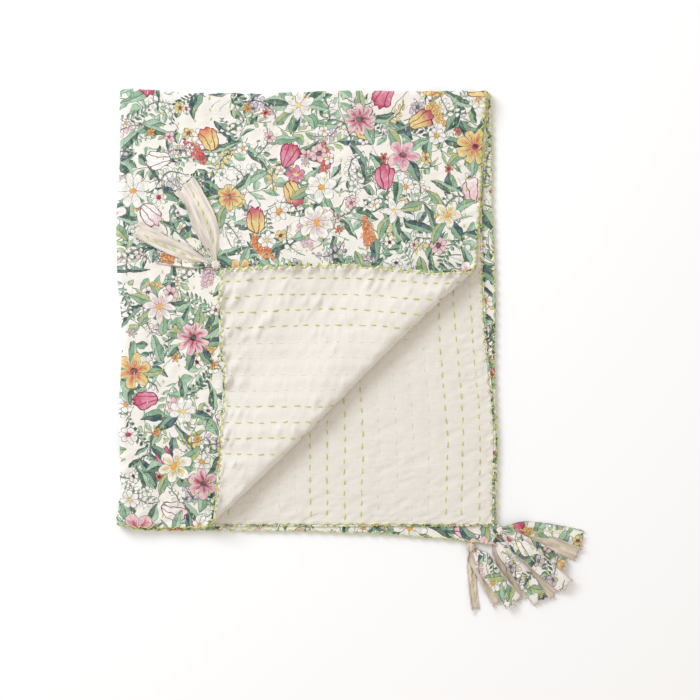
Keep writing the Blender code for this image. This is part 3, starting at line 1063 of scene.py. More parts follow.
def hem_stitches(surface):
    dice = random.Random(29)
    lines = []
    for place, half, pitch, bite in hem_sides():
        count = round(2 * (half - pitch / 2) / pitch)
        for index in range(count):
            middle = -half + pitch * (index + 1)
            for way in (1, -1):
                slant = way * pitch * dice.uniform(*HEM_SLANTS)
                deep = bite * dice.uniform(*HEM_BITES)
                lines.append(hem_stitch(place, middle + dice.gauss(0, HEM_STRAY), slant, deep))
    return threads("hem_stitches", lines, HEM_THREAD, surface, 5)


# ---- The tassels ----

def head_place(tassel):
    """The middle of a tassel's head, just off its corner of the cut, or off the end hem beside it."""
    side, end = tassel["corner"]
    across = HALF_WIDTH - tassel["aside"]
    inner_across = across if tassel["aside"] else across - HEAD_RADIUS
    corner = lay(side * across, end * HALF_LENGTH, 0.0)
    inside = lay(side * inner_across, end * (HALF_LENGTH - HEAD_RADIUS), 0.0)
    off = (corner - inside).to_2d().normalized() * (HEAD_RADIUS + HEAD_CLEARANCE)
    return Vector((corner.x + off.x, corner.y + off.y, max(corner.z, HEAD_HALF_HEIGHT)))


def floor_under(tassel, place, width):
    """What a strip's lowest level is: just over the top layer for the turned corner's, or else the ground."""
    if tassel["corner"] != (1, -1):
        return 0.0
    return lay(place.x - STACK.x - width / 2, -HALF_LENGTH / 2, QUILT / 2).z + LAYER_GAP / 2


Station = namedtuple("Station", "middle along across up width share crown least")


def strip_stations(root, tassel, strip):
    """A strip's line in even steps, each with the height that the strip may not sink below."""
    heading = math.radians(strip.heading)
    crown = STRIP_CROWN if strip.up == "print" else 0.0
    place = root.to_2d()
    stations = []
    for index in range(STRIP_STATIONS):
        share = index / (STRIP_STATIONS - 1)
        angle = heading + math.radians(strip.bend) * share
        along = Vector((math.cos(angle), math.sin(angle), 0.0))
        if index:
            place = place + along.to_2d() * strip.length / (STRIP_STATIONS - 1)
        width = ROOT_WIDTH + (strip.width - ROOT_WIDTH) * smooth(share / tassel["widen"])
        least = floor_under(tassel, place, width)
        rest = least + STRIP_THICKNESS / 2 + STRIP_LEVEL * strip.level
        drop = smooth((share * strip.length - tassel["hold"]) / (strip.length * tassel["widen"]))
        middle = Vector((place.x, place.y, root.z + (rest - root.z) * drop))
        twist = math.radians(strip.twist) * math.sin(math.pi * share * STRIP_TWISTS)
        level = Vector((-along.y, along.x, 0.0))
        across = level * math.cos(twist) + Vector((0, 0, 1)) * math.sin(twist)
        stations.append(Station(middle, along, across, across.cross(along) * -1, width, share, crown, least))
    return stations


def rolled_edge(side, share, seed, width):
    """How far across and up a place lies, and the tilt there, where the torn edges roll over."""
    out = abs(side) * width / 2
    loose = ROLL_LEVEL + ROLL_SWING * wander(share * ROLL_WAVES, 4.0 * math.copysign(1, side), seed + 3)
    flat = width / 2 * (1 - ROLL_SHARE * smooth(loose) * smooth(share / ROLL_FULL_AT))
    if out <= flat:
        return math.copysign(out, side), 0.0, 0.0
    turn = (out - flat) / ROLL_RADIUS
    across = flat + ROLL_RADIUS * math.sin(turn)
    return math.copysign(across, side), ROLL_RADIUS * (1 - math.cos(turn)), math.copysign(turn, side)


def strip_point(at, side, seed, lift):
    """A point of a strip at a station: side runs from -1 to 1 across it, and lift is off its middle sheet."""
    share, width = at.share, at.width
    torn_along, torn_across = TORN_WAVES
    torn = 1 + TORN_EDGE / width * 2 * wander(share * torn_along, side * torn_across, seed) * abs(side)
    off, rise, tilt = rolled_edge(side, share, seed, width * torn)
    curl = STRIP_CURL * width * (side * side - CURL_BASE)
    curl *= CURL_LEVEL + CURL_SWING * wander(share * CURL_WAVES, 0.0, seed + 3)
    across_waves, along_waves = CRUMPLE_WAVES
    crumple = STRIP_CRUMPLE * 2 * wander(side * across_waves, share * along_waves, seed + 5)
    arch = at.crown * width * (1 - side * side)
    pleats = GATHER * (1 - GATHER_LOSS * smooth(share / GATHER_TO))
    pleats *= math.cos(side * GATHER_WAVES + seed + GATHER_TURN * share)
    height = rise + (max(curl, CURL_LEAST) + arch + crumple) * smooth(share / OPEN_AT) + pleats
    ragged = TORN_END * wander(side * TORN_END_WAVES, 0.5, seed + 9)
    ragged *= smooth((share - TORN_END_FROM) / (1 - TORN_END_FROM))
    point = at.middle + at.across * (off - lift * math.sin(tilt)) + at.along * ragged
    point += at.up * (height + lift * math.cos(tilt))
    point.z = max(point.z, at.least + (UNDER_GAP if lift < 0 else STRIP_SKIN))
    return point


def strip_sides():
    """Places across a strip, closer together towards its torn edges."""
    return [math.sin(math.pi / 2 * (2 * index / STRIP_ACROSS - 1)) for index in range(STRIP_ACROSS + 1)]


def torn_from(seed):
    """The place on the cut that the root of a strip is torn from."""
    return seed * 0.0713 % 0.8 - 0.4, seed * 0.1377 % 0.9 - 0.45


def rim_of(rows):
    """The points round a sheet of rows, in order."""
    return [row[0] for row in rows] + rows[-1][1:] + [row[-1] for row in rows[-2::-1]] + rows[0][-2:0:-1]


def add_face(shape, corners, is_print, layer, place_of):
    """A smooth face in the print or in the plain cloth. place_of gives a corner's place on the cut."""
    face = shape.faces.new(corners)
    face.material_index = 0 if is_print else 1
    face.smooth = True
    for loop in face.loops:
        loop[layer].uv = on_map(*place_of(loop.vert))


def add_strip(shape, stations, seed, strip, layer):
    """One strip as a closed two-sided sheet, with the print or the plain cloth on its upper side."""
    sides = strip_sides()
    root_across, root_along = torn_from(seed)
    places = {}
    skins = []
    for lift in (STRIP_SKIN / 2, -STRIP_SKIN / 2):
        rows = []
        for at in stations:
            rows.append([shape.verts.new(strip_point(at, side, seed, lift)) for side in sides])
            for side, vert in zip(sides, rows[-1]):
                places[vert] = (root_across + side * strip.width / 2, root_along + at.share * strip.length)
        skins.append(rows)
    upper, lower = skins
    upper_is_print = strip.up == "print"
    faces = []
    for rows, flip, is_print in ((upper, False, upper_is_print), (lower, True, not upper_is_print)):
        for first, second in zip(rows, rows[1:]):
            for index in range(STRIP_ACROSS):
                corners = [first[index], second[index], second[index + 1], first[index + 1]]
                faces.append((corners if flip else corners[::-1], is_print))
    rim_up, rim_down = rim_of(upper), rim_of(lower)
    for index in range(len(rim_up)):
        after = (index + 1) % len(rim_up)
        faces.append(([rim_up[index], rim_up[after], rim_down[after], rim_down[index]], False))
    for corners, is_print in faces:
        add_face(shape, corners, is_print, layer, places.get)


def add_head(shape, root, seed, layer, is_print):
    """The gathered and sewn head: a low ball drawn into pleats."""
    spokes = HEAD_PLEATS * SPOKES_A_PLEAT
    loops = []
    for ring in range(1, HEAD_RINGS):
        tilt = math.pi * (ring / HEAD_RINGS - 0.5)
        tall = HEAD_RISE if tilt > 0 else HEAD_HALF_HEIGHT
        loop = []
        for spoke in range(spokes):
            turn = 2 * math.pi * spoke / spokes
            pleat = math.cos(turn * HEAD_PLEATS + HEAD_PLEAT_SWAY * math.sin(turn * 2 + seed))
            reach = HEAD_RADIUS * math.cos(tilt) ** HEAD_BLUNTNESS
            reach *= 1 + HEAD_PLEAT_DEPTH * pleat * math.cos(tilt)
            rise = tall * math.sin(tilt) * (1 + HEAD_WAVE * math.cos(turn * HEAD_WAVES + seed))
            point = root + Vector((reach * math.cos(turn), reach * math.sin(turn), rise))
            loop.append(shape.verts.new(point))
        loops.append(loop)
    bottom = shape.verts.new(root - Vector((0, 0, HEAD_HALF_HEIGHT)))
    top = shape.verts.new(root + Vector((0, 0, HEAD_RISE * HEAD_TOP)))
    faces = []
    for first, second in zip(loops, loops[1:]):
        for spoke in range(spokes):
            after = (spoke + 1) % spokes
            faces.append((first[spoke], first[after], second[after], second[spoke]))
    for spoke in range(spokes):
        after = (spoke + 1) % spokes
        faces.append((bottom, loops[0][after], loops[0][spoke]))
        faces.append((top, loops[-1][spoke], loops[-1][after]))
    shift = Vector((seed * 0.03, HEAD_FROM_ALONG))
    for corners in faces:
        add_face(shape, corners, is_print, layer, lambda vert: (vert.co - root).to_2d() + shift)


def strip_stitches(stations, seed):
    """The quilting's green stitches down the middle of a strip, on the side that faces up."""
    lines = []
    off = STRIP_STITCH_OFF * math.sin(seed * 3.3)
    for middle in range(FIRST_STRIP_STITCH, STRIP_STATIONS - STRIP_STITCH_STEP + 1, STRIP_STITCH_STEP):
        line = []
        for step, above, girth in STRIP_STITCH:
            side = off + STRIP_STITCH_SLANT * step
            line.append((strip_point(stations[middle + step], side, seed, STRIP_SKIN / 2 + above), girth))
        lines.append(line)
    return lines


def fray(start, way, length, dice):
    """A loose thread end that sags and bends a little."""
    bend = Vector((dice.uniform(-1, 1), dice.uniform(-1, 1), 0)) * length * FRAY_BEND
    line = []
    for step in range(FRAY_POINTS):
        share = step / (FRAY_POINTS - 1)
        point = start + way * (length * share) + bend * share * share
        point.z = max(start.z + FRAY_SAG * math.sin(math.pi * share) - FRAY_SAG * share, FRAY_LEAST)
        line.append((point, 1 - FRAY_TAPER * share))
    return line


def strip_frays(stations, seed, dice):
    """Loose threads at a strip's torn end and edges."""
    lines = []
    end = stations[-1]
    for _ in range(FRAYS_AT_END):
        start = strip_point(end, dice.uniform(-1, 1), seed, 0.0)
        length = FRAY_LENGTH * dice.uniform(*FRAY_END_SHARES)
        lines.append(fray(start - end.along * FRAY_ROOT, end.along, length, dice))
    for _ in range(FRAYS_ALONG):
        at = stations[dice.randrange(len(stations) // 3, len(stations))]
        side = dice.choice((-1, 1))
        start = strip_point(at, side, seed, 0.0)
        way = (at.across * side + at.along * dice.uniform(*FRAY_LEANS)).normalized()
        length = FRAY_LENGTH * dice.uniform(*FRAY_EDGE_SHARES)
        lines.append(fray(start - way * FRAY_ROOT, way, length, dice))
    return lines


def tassel_pieces(name, tassel, number, finishes):
    """A tassel's strips and head, which replace its solid, with its sewing and its loose threads."""
    root = head_place(tassel)
    shape = bmesh.new()
    layer = shape.loops.layers.uv.new("cut")
    dice = random.Random(101 + number)
    sewing = []
    frays = []
    for index, strip in enumerate(tassel["strips"]):
        seed = 3.5 + number * 10 + index * 2.3
        stations = strip_stations(root, tassel, strip)
        add_strip(shape, stations, seed, strip, layer)
        sewing += strip_stitches(stations, seed)
        frays += strip_frays(stations, seed, dice)
    add_head(shape, root, number * 1.3, layer, tassel["head"] == "print")
    mesh = bpy.data.meshes.new(name + "_strips")
    shape.to_mesh(mesh)
    shape.free()
    mesh.materials.append(finishes["print"])
    # The plain sides take a cream with painted shade: lighter at the turned corner, deeper in the pile
    mesh.materials.append(finishes["pale strip" if tassel["corner"] == (1, -1) else "strip"])
    strips = add_object(name + "_strips", mesh)
    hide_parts(name)
    sewn = threads(name + "_sewing", sewing, STRIP_THREAD, finishes["green"], 5)
    loose = threads(name + "_frays", frays, FRAY_WIDTH, finishes["pale"], 4)
    return [strips, sewn, loose]


# ---- Shader fields ----

class Field:
    """A number that varies over a piece: one output in a node tree, with arithmetic on it."""

    def __init__(self, tree, socket):
        self.tree = tree
        self.socket = socket

    def apply(self, operation, *others):
        node = self.tree.nodes.new("ShaderNodeMath")
        node.operation = operation
        for index, value in enumerate((self, *others)):
            feed(node.inputs[index], value)
        return Field(self.tree, node.outputs[0])

    def __add__(self, other):
        return self.apply("ADD", other)

    def __sub__(self, other):
        return self.apply("SUBTRACT", other)

    def __rsub__(self, other):
        return self.apply("MULTIPLY_ADD", -1.0, other)

    def __mul__(self, other):
        return self.apply("MULTIPLY", other)

    def __truediv__(self, other):
        return self.apply("DIVIDE", other)

    __radd__ = __add__
    __rmul__ = __mul__

    def power(self, other):
        return self.apply("POWER", other)

    def larger(self, other):
        return self.apply("MAXIMUM", other)

    def sine(self):
        return self.apply("SINE")

    def cosine(self):
        return self.apply("COSINE")

    def square_root(self):
        return self.apply("SQRT")

    def size(self):
        return self.apply("ABSOLUTE")

    def fraction(self):
        return self.apply("FRACT")

    def whole(self):
        return self.apply("FLOOR")

    def zigzag(self):
        """1 at every whole number and 0 halfway between them."""
        return (self.fraction() * 2 - 1).size()

    def ramp(self, low, high, start=0.0, end=1.0, kind="LINEAR"):
        node = self.tree.nodes.new("ShaderNodeMapRange")
        node.interpolation_type = kind
        names = ("Value", "From Min", "From Max", "To Min", "To Max")
        for name, value in zip(names, (self, low, high, start, end)):
            feed(node.inputs[name], value)
        return Field(self.tree, node.outputs["Result"])

    def above(self, low, high):
        """0 below low and 1 above high, smooth between them."""
        return self.ramp(low, high, kind="SMOOTHSTEP")

    def within(self, edge, soft):
        """1 where this is less than edge and 0 where it is more, over a soft width."""
        return self.ramp(edge - soft, edge + soft, 1.0, 0.0)


def mixed(tree, share, first, second):
    """A colour: first where share is 0 and second where it is 1."""
    node = tree.nodes.new("ShaderNodeMix")
    node.data_type = "RGBA"
    sockets = {socket.identifier: socket for socket in node.inputs}
    feed(sockets["Factor_Float"], share)
    feed(sockets["A_Color"], first)
    feed(sockets["B_Color"], second)
    return next(socket for socket in node.outputs if socket.identifier == "Result_Color")


def shaded(tree, shade, colour):
    """A colour times a shade of about 1."""
    node = tree.nodes.new("ShaderNodeVectorMath")
    node.operation = "SCALE"
    feed(node.inputs["Scale"], shade)
    if isinstance(colour, tuple):
        node.inputs[0].default_value = colour
    else:
        tree.links.new(colour, node.inputs[0])
    return node.outputs["Vector"]


def picked(tree, chance, colours):
    """One of several colours, by a number from 0 to 1."""
    node = tree.nodes.new("ShaderNodeValToRGB")
    node.color_ramp.interpolation = "CONSTANT"
    stops = node.color_ramp.elements
    while len(stops) < len(colours):
        stops.new(1.0)
    for index, colour in enumerate(colours):
        stops[index].position = index / len(colours)
        stops[index].color = (*colour, 1.0)
    feed(node.inputs["Fac"], chance)
    return node.outputs["Color"]


def vector_of(tree, x, y):
    node = tree.nodes.new("ShaderNodeCombineXYZ")
    feed(node.inputs["X"], x)
    feed(node.inputs["Y"], y)
    return node.outputs["Vector"]


def parts_of(tree, socket, kind):
    """The three numbers in a vector or a colour."""
    node = tree.nodes.new("ShaderNodeSeparateXYZ" if kind == "vector" else "ShaderNodeSeparateColor")
    tree.links.new(socket, node.inputs[0])
    return [Field(tree, output) for output in node.outputs]


def noise_at(tree, x, y, scale, detail):
    """Noise at a place, as a number and as a colour."""
    node = tree.nodes.new("ShaderNodeTexNoise")
    node.noise_dimensions = "2D"
    feed(node.inputs["Vector"], vector_of(tree, x, y))
    feed(node.inputs["Scale"], scale)
    feed(node.inputs["Detail"], detail)
    return node.outputs


def grain(tree, x, y, scale=1.0, detail=2.0):
    """Noise from 0 to 1 at a place."""
    return Field(tree, noise_at(tree, x, y, scale, detail)["Fac"])


def cells_at(tree, x, y, unevenness):
    """Cells of about 1 in size, each with its own middle and its own colour to draw chances from."""
    node = tree.nodes.new("ShaderNodeTexVoronoi")
    node.voronoi_dimensions = "2D"
    feed(node.inputs["Vector"], vector_of(tree, x, y))
    feed(node.inputs["Scale"], 1.0)
    feed(node.inputs["Randomness"], unevenness)
    return node.outputs


def polar(x, y):
    """How far a place is from the middle, and its turn round it in whole turns."""
    return (x * x + y * y).square_root(), y.apply("ARCTAN2", x) / (2 * math.pi)


def bent(y, run, length, bend):
    """Straightens a motif that is bent along its length. run goes from -1 to 1 along it."""
    return y - bend * length * (run * run - 0.4)


def new_group(name, inputs, outputs):
    """A shader node group with named number inputs: its tree, inputs as fields and outputs to feed."""
    tree = bpy.data.node_groups.new(name, "ShaderNodeTree")
    for label, default in inputs.items():
        socket = tree.interface.new_socket(label, in_out="INPUT", socket_type="NodeSocketFloat")
        socket.default_value = default
    for label in outputs:
        kind = "NodeSocketColor" if label.endswith("Colour") else "NodeSocketFloat"
        tree.interface.new_socket(label, in_out="OUTPUT", socket_type=kind)
    given = tree.nodes.new("NodeGroupInput")
    result = tree.nodes.new("NodeGroupOutput")
    return tree, {label: Field(tree, given.outputs[label]) for label in inputs}, result.inputs


def filled(tree, out, **values):
    """The group, once its outputs are fed by name."""
    feed_all(out, values)
    return tree


def place_group(tree, group, **values):
    """Puts a group in a tree and gives its outputs by name."""
    node = tree.nodes.new("ShaderNodeGroup")
    node.node_tree = group
    feed_all(node.inputs, values)
    return {s.name: (s if s.type == "RGBA" else Field(tree, s)) for s in node.outputs}


# ---- The print's motifs ----

INK_EDGE = 0.00024
MOTIF_SWAY = 0.0075


def scatter_group():
    """Places motifs unevenly, each turned its own way, with two numbers to choose its looks by."""
    inputs = {"Across": 0.0, "Along": 0.0, "Pitch": 0.05, "Unevenness": 0.7, "Turn": 0.0}
    tree, given, out = new_group("scattered_motifs", inputs, ["X", "Y", "First chance", "Second chance"])
    cosine, sine = given["Turn"].cosine(), given["Turn"].sine()
    x = (given["Across"] * cosine - given["Along"] * sine) / given["Pitch"]
    y = (given["Across"] * sine + given["Along"] * cosine) / given["Pitch"]
    cells = cells_at(tree, x, y, given["Unevenness"])
    middle_x, middle_y, _ = parts_of(tree, cells["Position"], "vector")
    turn, first, second = parts_of(tree, cells["Color"], "colour")
    angle = turn * (2 * math.pi)
    x, y = (x - middle_x) * given["Pitch"], (y - middle_y) * given["Pitch"]
    turned_x = x * angle.cosine() - y * angle.sine()
    turned_y = x * angle.sine() + y * angle.cosine()
    return filled(tree, out, X=turned_x, Y=turned_y, First_chance=first, Second_chance=second)


def open_flower_group():
    """A flower seen from the front, its petals parted by ink lines."""
    inputs = {"X": 0.0, "Y": 0.0, "Reach": 0.02, "Petals": 6.0}
    inputs |= {"Notch": 0.4, "Roundness": 2.5, "Line": 0.0006}
    tree, given, out = new_group("open_flower", inputs, ["Inside", "Ink", "Out", "Star"])
    reach = given["Reach"]
    away, angle = polar(given["X"], given["Y"])
    across = (angle * given["Petals"]).zigzag()
    edge = reach * (1 - given["Notch"] * across.power(given["Roundness"]))
    inside = away.within(edge, INK_EDGE)
    body = away.within(edge - given["Line"] * 1.5, INK_EDGE)
    between = (1 - across) * away / given["Petals"] * math.pi
    parting = between.within(given["Line"] * 0.6, INK_EDGE) * away.above(reach * 0.12, reach * 0.2)
    streaks = (across * 2.5).zigzag().within(0.25, 0.2)
    streaks = streaks * away.within(reach * 0.62, 0.0015) * away.above(reach * 0.22, reach * 0.3)
    ink = inside * (1 - body).larger(parting).larger(streaks * 0.5)
    rays = grain(tree, angle * given["Petals"] * 7, away * 90, 1.0, 1.0)
    star = (away / reach + across * 0.55 + (rays - 0.5) * 0.7).above(1.0, 0.40)
    return filled(tree, out, Inside=inside, Ink=ink, Out=away / reach, Star=star)


def leaf_group():
    """A pointed leaf along X with a midrib and side veins. Side is which half of it a place is on."""
    inputs = {"X": 0.0, "Y": 0.0, "Length": 0.02, "Width": 0.006, "Bend": 0.2, "Line": 0.0006, "Veins": 7.0}
    tree, given, out = new_group("pointed_leaf", inputs, ["Inside", "Ink", "Side"])
    run = given["X"] / given["Length"]
    y = bent(given["Y"], run, given["Length"], given["Bend"])
    broad = given["Width"] * (1 - run * run).larger(0.0) * (1 + 0.35 * run)
    off = y.size()
    inside = off.within(broad, INK_EDGE) * run.size().within(1.0, 0.01)
    body = off.within(broad - given["Line"], INK_EDGE)
    rib = off.within(given["Line"] * 0.6, INK_EDGE)
    slope = run * given["Veins"] + off / given["Length"] * given["Veins"] * 1.1
    vein = slope.zigzag().within(0.22, 0.1)
    ink = inside * (1 - body).larger(rib).larger(vein * 0.4)
    streaks = grain(tree, given["X"] * 45, given["Y"] * 1100, 1.0, 1.0)
    half = y.above(-0.0003, 0.0003)
    side = (half * 0.70 + slope.fraction() * 0.26 + (streaks - 0.5) * 0.9).above(0.22, 0.80)
    return filled(tree, out, Inside=inside, Ink=ink, Side=side)


def leaf_ring_group():
    """Turns a place round a point into a place on the nearest of several leaves that stand out from it."""
    inputs = {"X": 0.0, "Y": 0.0, "Leaves": 6.0, "Start": 0.012, "Length": 0.018, "Chance": 0.5}
    tree, given, out = new_group("ring_of_leaves", inputs, ["X", "Y", "Leaf chance"])
    away, turn = polar(given["X"], given["Y"])
    angle = (turn + 0.5) * given["Leaves"]
    off = (angle.fraction() - 0.5) * (2 * math.pi) / given["Leaves"]
    chance = ((angle.whole() + given["Chance"] * 17.0) * 7.31).sine() * 43.7
    chance = chance.fraction()
    off = off + (chance - 0.5) * 0.35
    out_x = away * off.cosine() - given["Start"] - given["Length"] * (0.75 + chance * 0.4)
    return filled(tree, out, X=out_x, Y=away * off.sine(), Leaf_chance=chance)


def cup_flower_group():
    """A closed flower seen from the side, opening towards +X."""
    inputs = {"X": 0.0, "Y": 0.0, "Length": 0.016, "Width": 0.012}
    tree, given, out = new_group("cup_flower", inputs, ["Inside", "Ink", "Run"])
    run, side = given["X"] / given["Length"], given["Y"] / given["Width"]
    lobes = 1.0 - 0.20 * (side * 1.5).zigzag()
    top = run / lobes
    open_end = run.above(-0.2, 0.4)
    shape = side * side * (1 - 0.25 * open_end) + top * top * open_end + run * run * (1 - open_end)
    shape = shape.square_root()
    inside = shape.within(1.0, 0.012)
    body = shape.within(0.92, 0.012)
    petals = (side.size() - 0.42 - 0.25 * run).size().within(0.045, 0.02)
    ink = inside * (1 - body).larger(petals)
    return filled(tree, out, Inside=inside, Ink=ink, Run=run * 0.5 + 0.5)


def spray_group():
    """A stem along X with small leaves or berries up both of its sides."""
    inputs = {"X": 0.0, "Y": 0.0, "Length": 0.03, "Bend": 0.3, "Step": 0.008, "Leaf": 0.007}
    inputs |= {"Leaf width": 0.0022, "Lean": 0.8, "Line": 0.0005}
    tree, given, out = new_group("spray_of_leaves", inputs, ["Inside", "Ink", "Stem", "Half"])
    x, length, step = given["X"], given["Length"], given["Step"]
    run = x / length
    y = bent(given["Y"], run, length, given["Bend"])
    taper = (1 - run * run * 0.6).larger(0.2)
    place = x / step + y.above(-0.00005, 0.00005) * 0.5
    local = (place.fraction() - 0.5) * step
    keep = ((place.whole() + 0.5) * step / length).size().within(0.92, 0.001)
    cosine, sine = given["Lean"].cosine(), given["Lean"].sine()
    off = y.size()
    reach = given["Leaf"] * taper
    out_off = off - reach * 0.1
    leaf_x = (local + reach * 0.2) * cosine + out_off * sine - reach * 0.45
    leaf_y = out_off * cosine - (local + reach * 0.2) * sine
    share = leaf_x / (reach * 0.5)
    broad = given["Leaf width"] * taper * (1 - share * share).larger(0.0)
    inside = leaf_y.size().within(broad, INK_EDGE) * keep
    body = leaf_y.size().within(broad - given["Line"], INK_EDGE)
    stem = off.within(given["Line"] * 1.1, INK_EDGE) * run.size().within(1.0, 0.01)
    half = leaf_y.above(-0.0002, 0.0002)
    return filled(tree, out, Inside=inside, Ink=inside * (1 - body), Stem=stem, Half=half)


def spike_group():
    """A flower spike along X: small buds packed in a spindle."""
    inputs = {"X": 0.0, "Y": 0.0, "Length": 0.024, "Width": 0.009, "Bud": 0.0038}
    tree, given, out = new_group("spike_of_buds", inputs, ["Inside", "Ink", "Bud chance"])
    run = given["X"] / given["Length"]
    y = bent(given["Y"], run, given["Length"], 0.12)
    buds = cells_at(tree, given["X"] / given["Bud"], y / given["Bud"], 0.55)
    away = Field(tree, buds["Distance"])
    chance = parts_of(tree, buds["Color"], "colour")[0]
    middle_x, middle_y, _ = parts_of(tree, buds["Position"], "vector")
    middle_run = middle_x * given["Bud"] / given["Length"]
    broad = given["Width"] * (1 - middle_run * middle_run).larger(0.0) * (1 - 0.45 * middle_run)
    keep = (middle_y * given["Bud"]).size().within(broad, 0.0001)
    inside = keep * away.within(0.62, 0.04)
    return filled(tree, out, Inside=inside, Ink=inside * away.above(0.40, 0.50), Bud_chance=chance)


# ---- The print ----

SPRAYS = (
    {
        "pitch": 0.070, "turn": 0.5, "shift": 0.31,
        "length": 0.034, "step": 0.0180, "leaf": 0.0260, "width": 0.0058, "lean": 0.75,
        "light": (MINT, SAGE, MINT, LIME), "dark": (TEAL, FOREST, SAGE, SAGE),
    },
    {
        "pitch": 0.080, "turn": 1.9, "shift": 1.17,
        "length": 0.032, "step": 0.0065, "leaf": 0.0090, "width": 0.0020, "lean": 1.0,
        "light": (FOREST, TEAL, SAGE, MINT), "dark": (TEAL, FOREST, FOREST, SAGE),
    },
    {
        "pitch": 0.086, "turn": 2.7, "shift": 2.17,
        "length": 0.034, "step": 0.0110, "leaf": 0.0150, "width": 0.0032, "lean": 0.85,
        "light": (MINT, SAGE, LIME), "dark": (SAGE, FOREST, MINT),
    },
)
LEAVES = (
    {
        "pitch": 0.063, "turn": 0.9, "shift": 2.3, "length": 0.0240, "width": 0.0072,
        "light": (MINT, SAGE, MINT), "dark": (SAGE, TEAL, FOREST),
    },
    {
        "pitch": 0.068, "turn": 0.2, "shift": 5.2, "length": 0.0320, "width": 0.0052,
        "light": (MINT, SAGE), "dark": (FOREST, TEAL),
    },
)
BERRIES = (
    (0.074, 0.4, 7.7, (WHITE, BLUSH, WHITE, YELLOW, LILAC)),
    (0.068, 2.2, 27.1, (WHITE, WHITE, PRINT_GROUND)),
)
BLOOMS = (
    {
        "pitch": 0.043, "turn": 1.3, "shift": 11.3, "keep": 0.50,
        "reach": 0.0088, "petals": 5, "notch": 0.42, "roundness": 2.2,
        "fill": (YELLOW, WHITE, LILAC, WHITE, BLUSH, WHITE, WHITE),
        "heart": (WINE, GOLD, FOREST, WINE, MAGENTA, GOLD, SAGE),
    },
    {
        "pitch": 0.051, "turn": 0.1, "shift": 13.9, "keep": 0.50,
        "reach": 0.0072, "petals": 6, "notch": 0.55, "roundness": 1.4,
        "fill": (LILAC, WHITE, CORAL, GOLD, WHITE), "heart": (YELLOW, MAGENTA, WINE, CORAL, GOLD),
    },
    {
        "pitch": 0.070, "turn": 1.0, "shift": 15.1, "keep": 0.40,
        "reach": 0.0130, "petals": 7, "notch": 0.30, "roundness": 1.8,
        "fill": (WHITE, WHITE, BLUSH, WHITE, WHITE, PINK),
        "heart": (GOLD, MAGENTA, WINE, GOLD, YELLOW, YELLOW),
    },
)
BIG_FLOWER_PITCH = 0.090
BIG_FLOWER_REACH = 0.0175
BIG_FLOWER_SPREAD = 0.0085
BIG_FLOWERS = {
    "outer": (BLUSH, WHITE, WHITE, BLUSH, WHITE, YELLOW, WHITE, WHITE),
    "inner": (PINK, WHITE, WHITE, MAGENTA, YELLOW, CORAL, BLUSH, PINK),
    "heart": (WINE, GOLD, YELLOW, INK, GOLD, WINE, GOLD, GOLD),
}


class Printer:
    """Lays one kind of motif over another in the print's node tree."""

    def __init__(self, tree, across, along):
        self.tree = tree
        self.across = across
        self.along = along
        self.wash = grain(tree, across, along, 240.0, 2.0) * 0.6 + 0.70
        self.fade = grain(tree, along, across, 150.0, 2.0).ramp(0.35, 0.75, 0.0, 0.22)
        self.colour = PRINT_GROUND

    def scattered(self, pitch, turn, shift, unevenness=0.7):
        values = {"Across": self.across + shift, "Along": self.along + shift * 0.37}
        values |= {"Pitch": pitch, "Unevenness": unevenness, "Turn": turn}
        return place_group(self.tree, MOTIFS["scatter"], **values)

    def shape(self, motif, at, **values):
        return place_group(self.tree, MOTIFS[motif], X=at["X"], Y=at["Y"], **values)

    def pick(self, chance, *choices):
        """A colour out of each set of choices, all by the same chance."""
        return [picked(self.tree, chance, colours) for colours in choices]

    def grain(self, x, y, scale):
        return grain(self.tree, x, y, scale, 0.0)

    def mix(self, share, first, second):
        return mixed(self.tree, share, first, second)

    def paint(self, mask, fill, ink=None, ink_colour=INK, ink_share=0.92):
        """Covers what is there with a washy, faded fill, and with an ink drawing on it."""
        washed = self.mix(self.fade, shaded(self.tree, self.wash, fill), PRINT_GROUND)
        inked = washed if ink is None else self.mix(ink * ink_share, washed, ink_colour)
        self.colour = self.mix(mask, self.colour, inked)


def print_stems(printer):
    """Long thin stems that wander between the motifs."""
    for shift, colour in ((3.3, FOREST), (8.1, SAGE)):
        level = printer.grain(printer.across + shift, printer.along, 11.0)
        broken = printer.grain(printer.along, printer.across + shift, 23.0)
        printer.paint((level - 0.5).size().within(0.0045, 0.0015) * broken.above(0.47, 0.50), colour)


def print_sprays(printer):
    for row in SPRAYS:
        at = printer.scattered(row["pitch"], row["turn"], row["shift"])
        sizes = {name.capitalize(): row[name] for name in ("length", "step", "leaf", "lean")}
        made = printer.shape("spray", at, Leaf_width=row["width"], Bend=0.35, Line=0.00050, **sizes)
        light, dark = printer.pick(at["First chance"], row["light"], row["dark"])
        printer.paint(made["Stem"], FOREST)
        printer.paint(made["Inside"], printer.mix(made["Half"], light, dark), made["Ink"])


def print_leaves(printer):
    for row in LEAVES:
        at = printer.scattered(row["pitch"], row["turn"], row["shift"], 0.6)
        bend = at["Second chance"] * 0.7 - 0.35
        made = printer.shape("leaf", at, Length=row["length"], Width=row["width"], Bend=bend)
        light, dark = printer.pick(at["First chance"], row["light"], row["dark"])
        printer.paint(made["Inside"], printer.mix(made["Side"], light, dark), made["Ink"])


def print_berries(printer):
    """Sprays of berries, and of small blossoms drawn in ink alone."""
    for pitch, turn, shift, fills in BERRIES:
        at = printer.scattered(pitch, turn, shift, 0.8)
        sizes = {"Length": 0.026, "Step": 0.0078, "Leaf": 0.0085, "Leaf_width": 0.0034}
        made = printer.shape("spray", at, Bend=0.5, Lean=1.2, Line=0.0007, **sizes)
        (fill,) = printer.pick(at["First chance"], fills)
        printer.paint(made["Stem"], FOREST)
        printer.paint(made["Inside"], fill, made["Ink"])


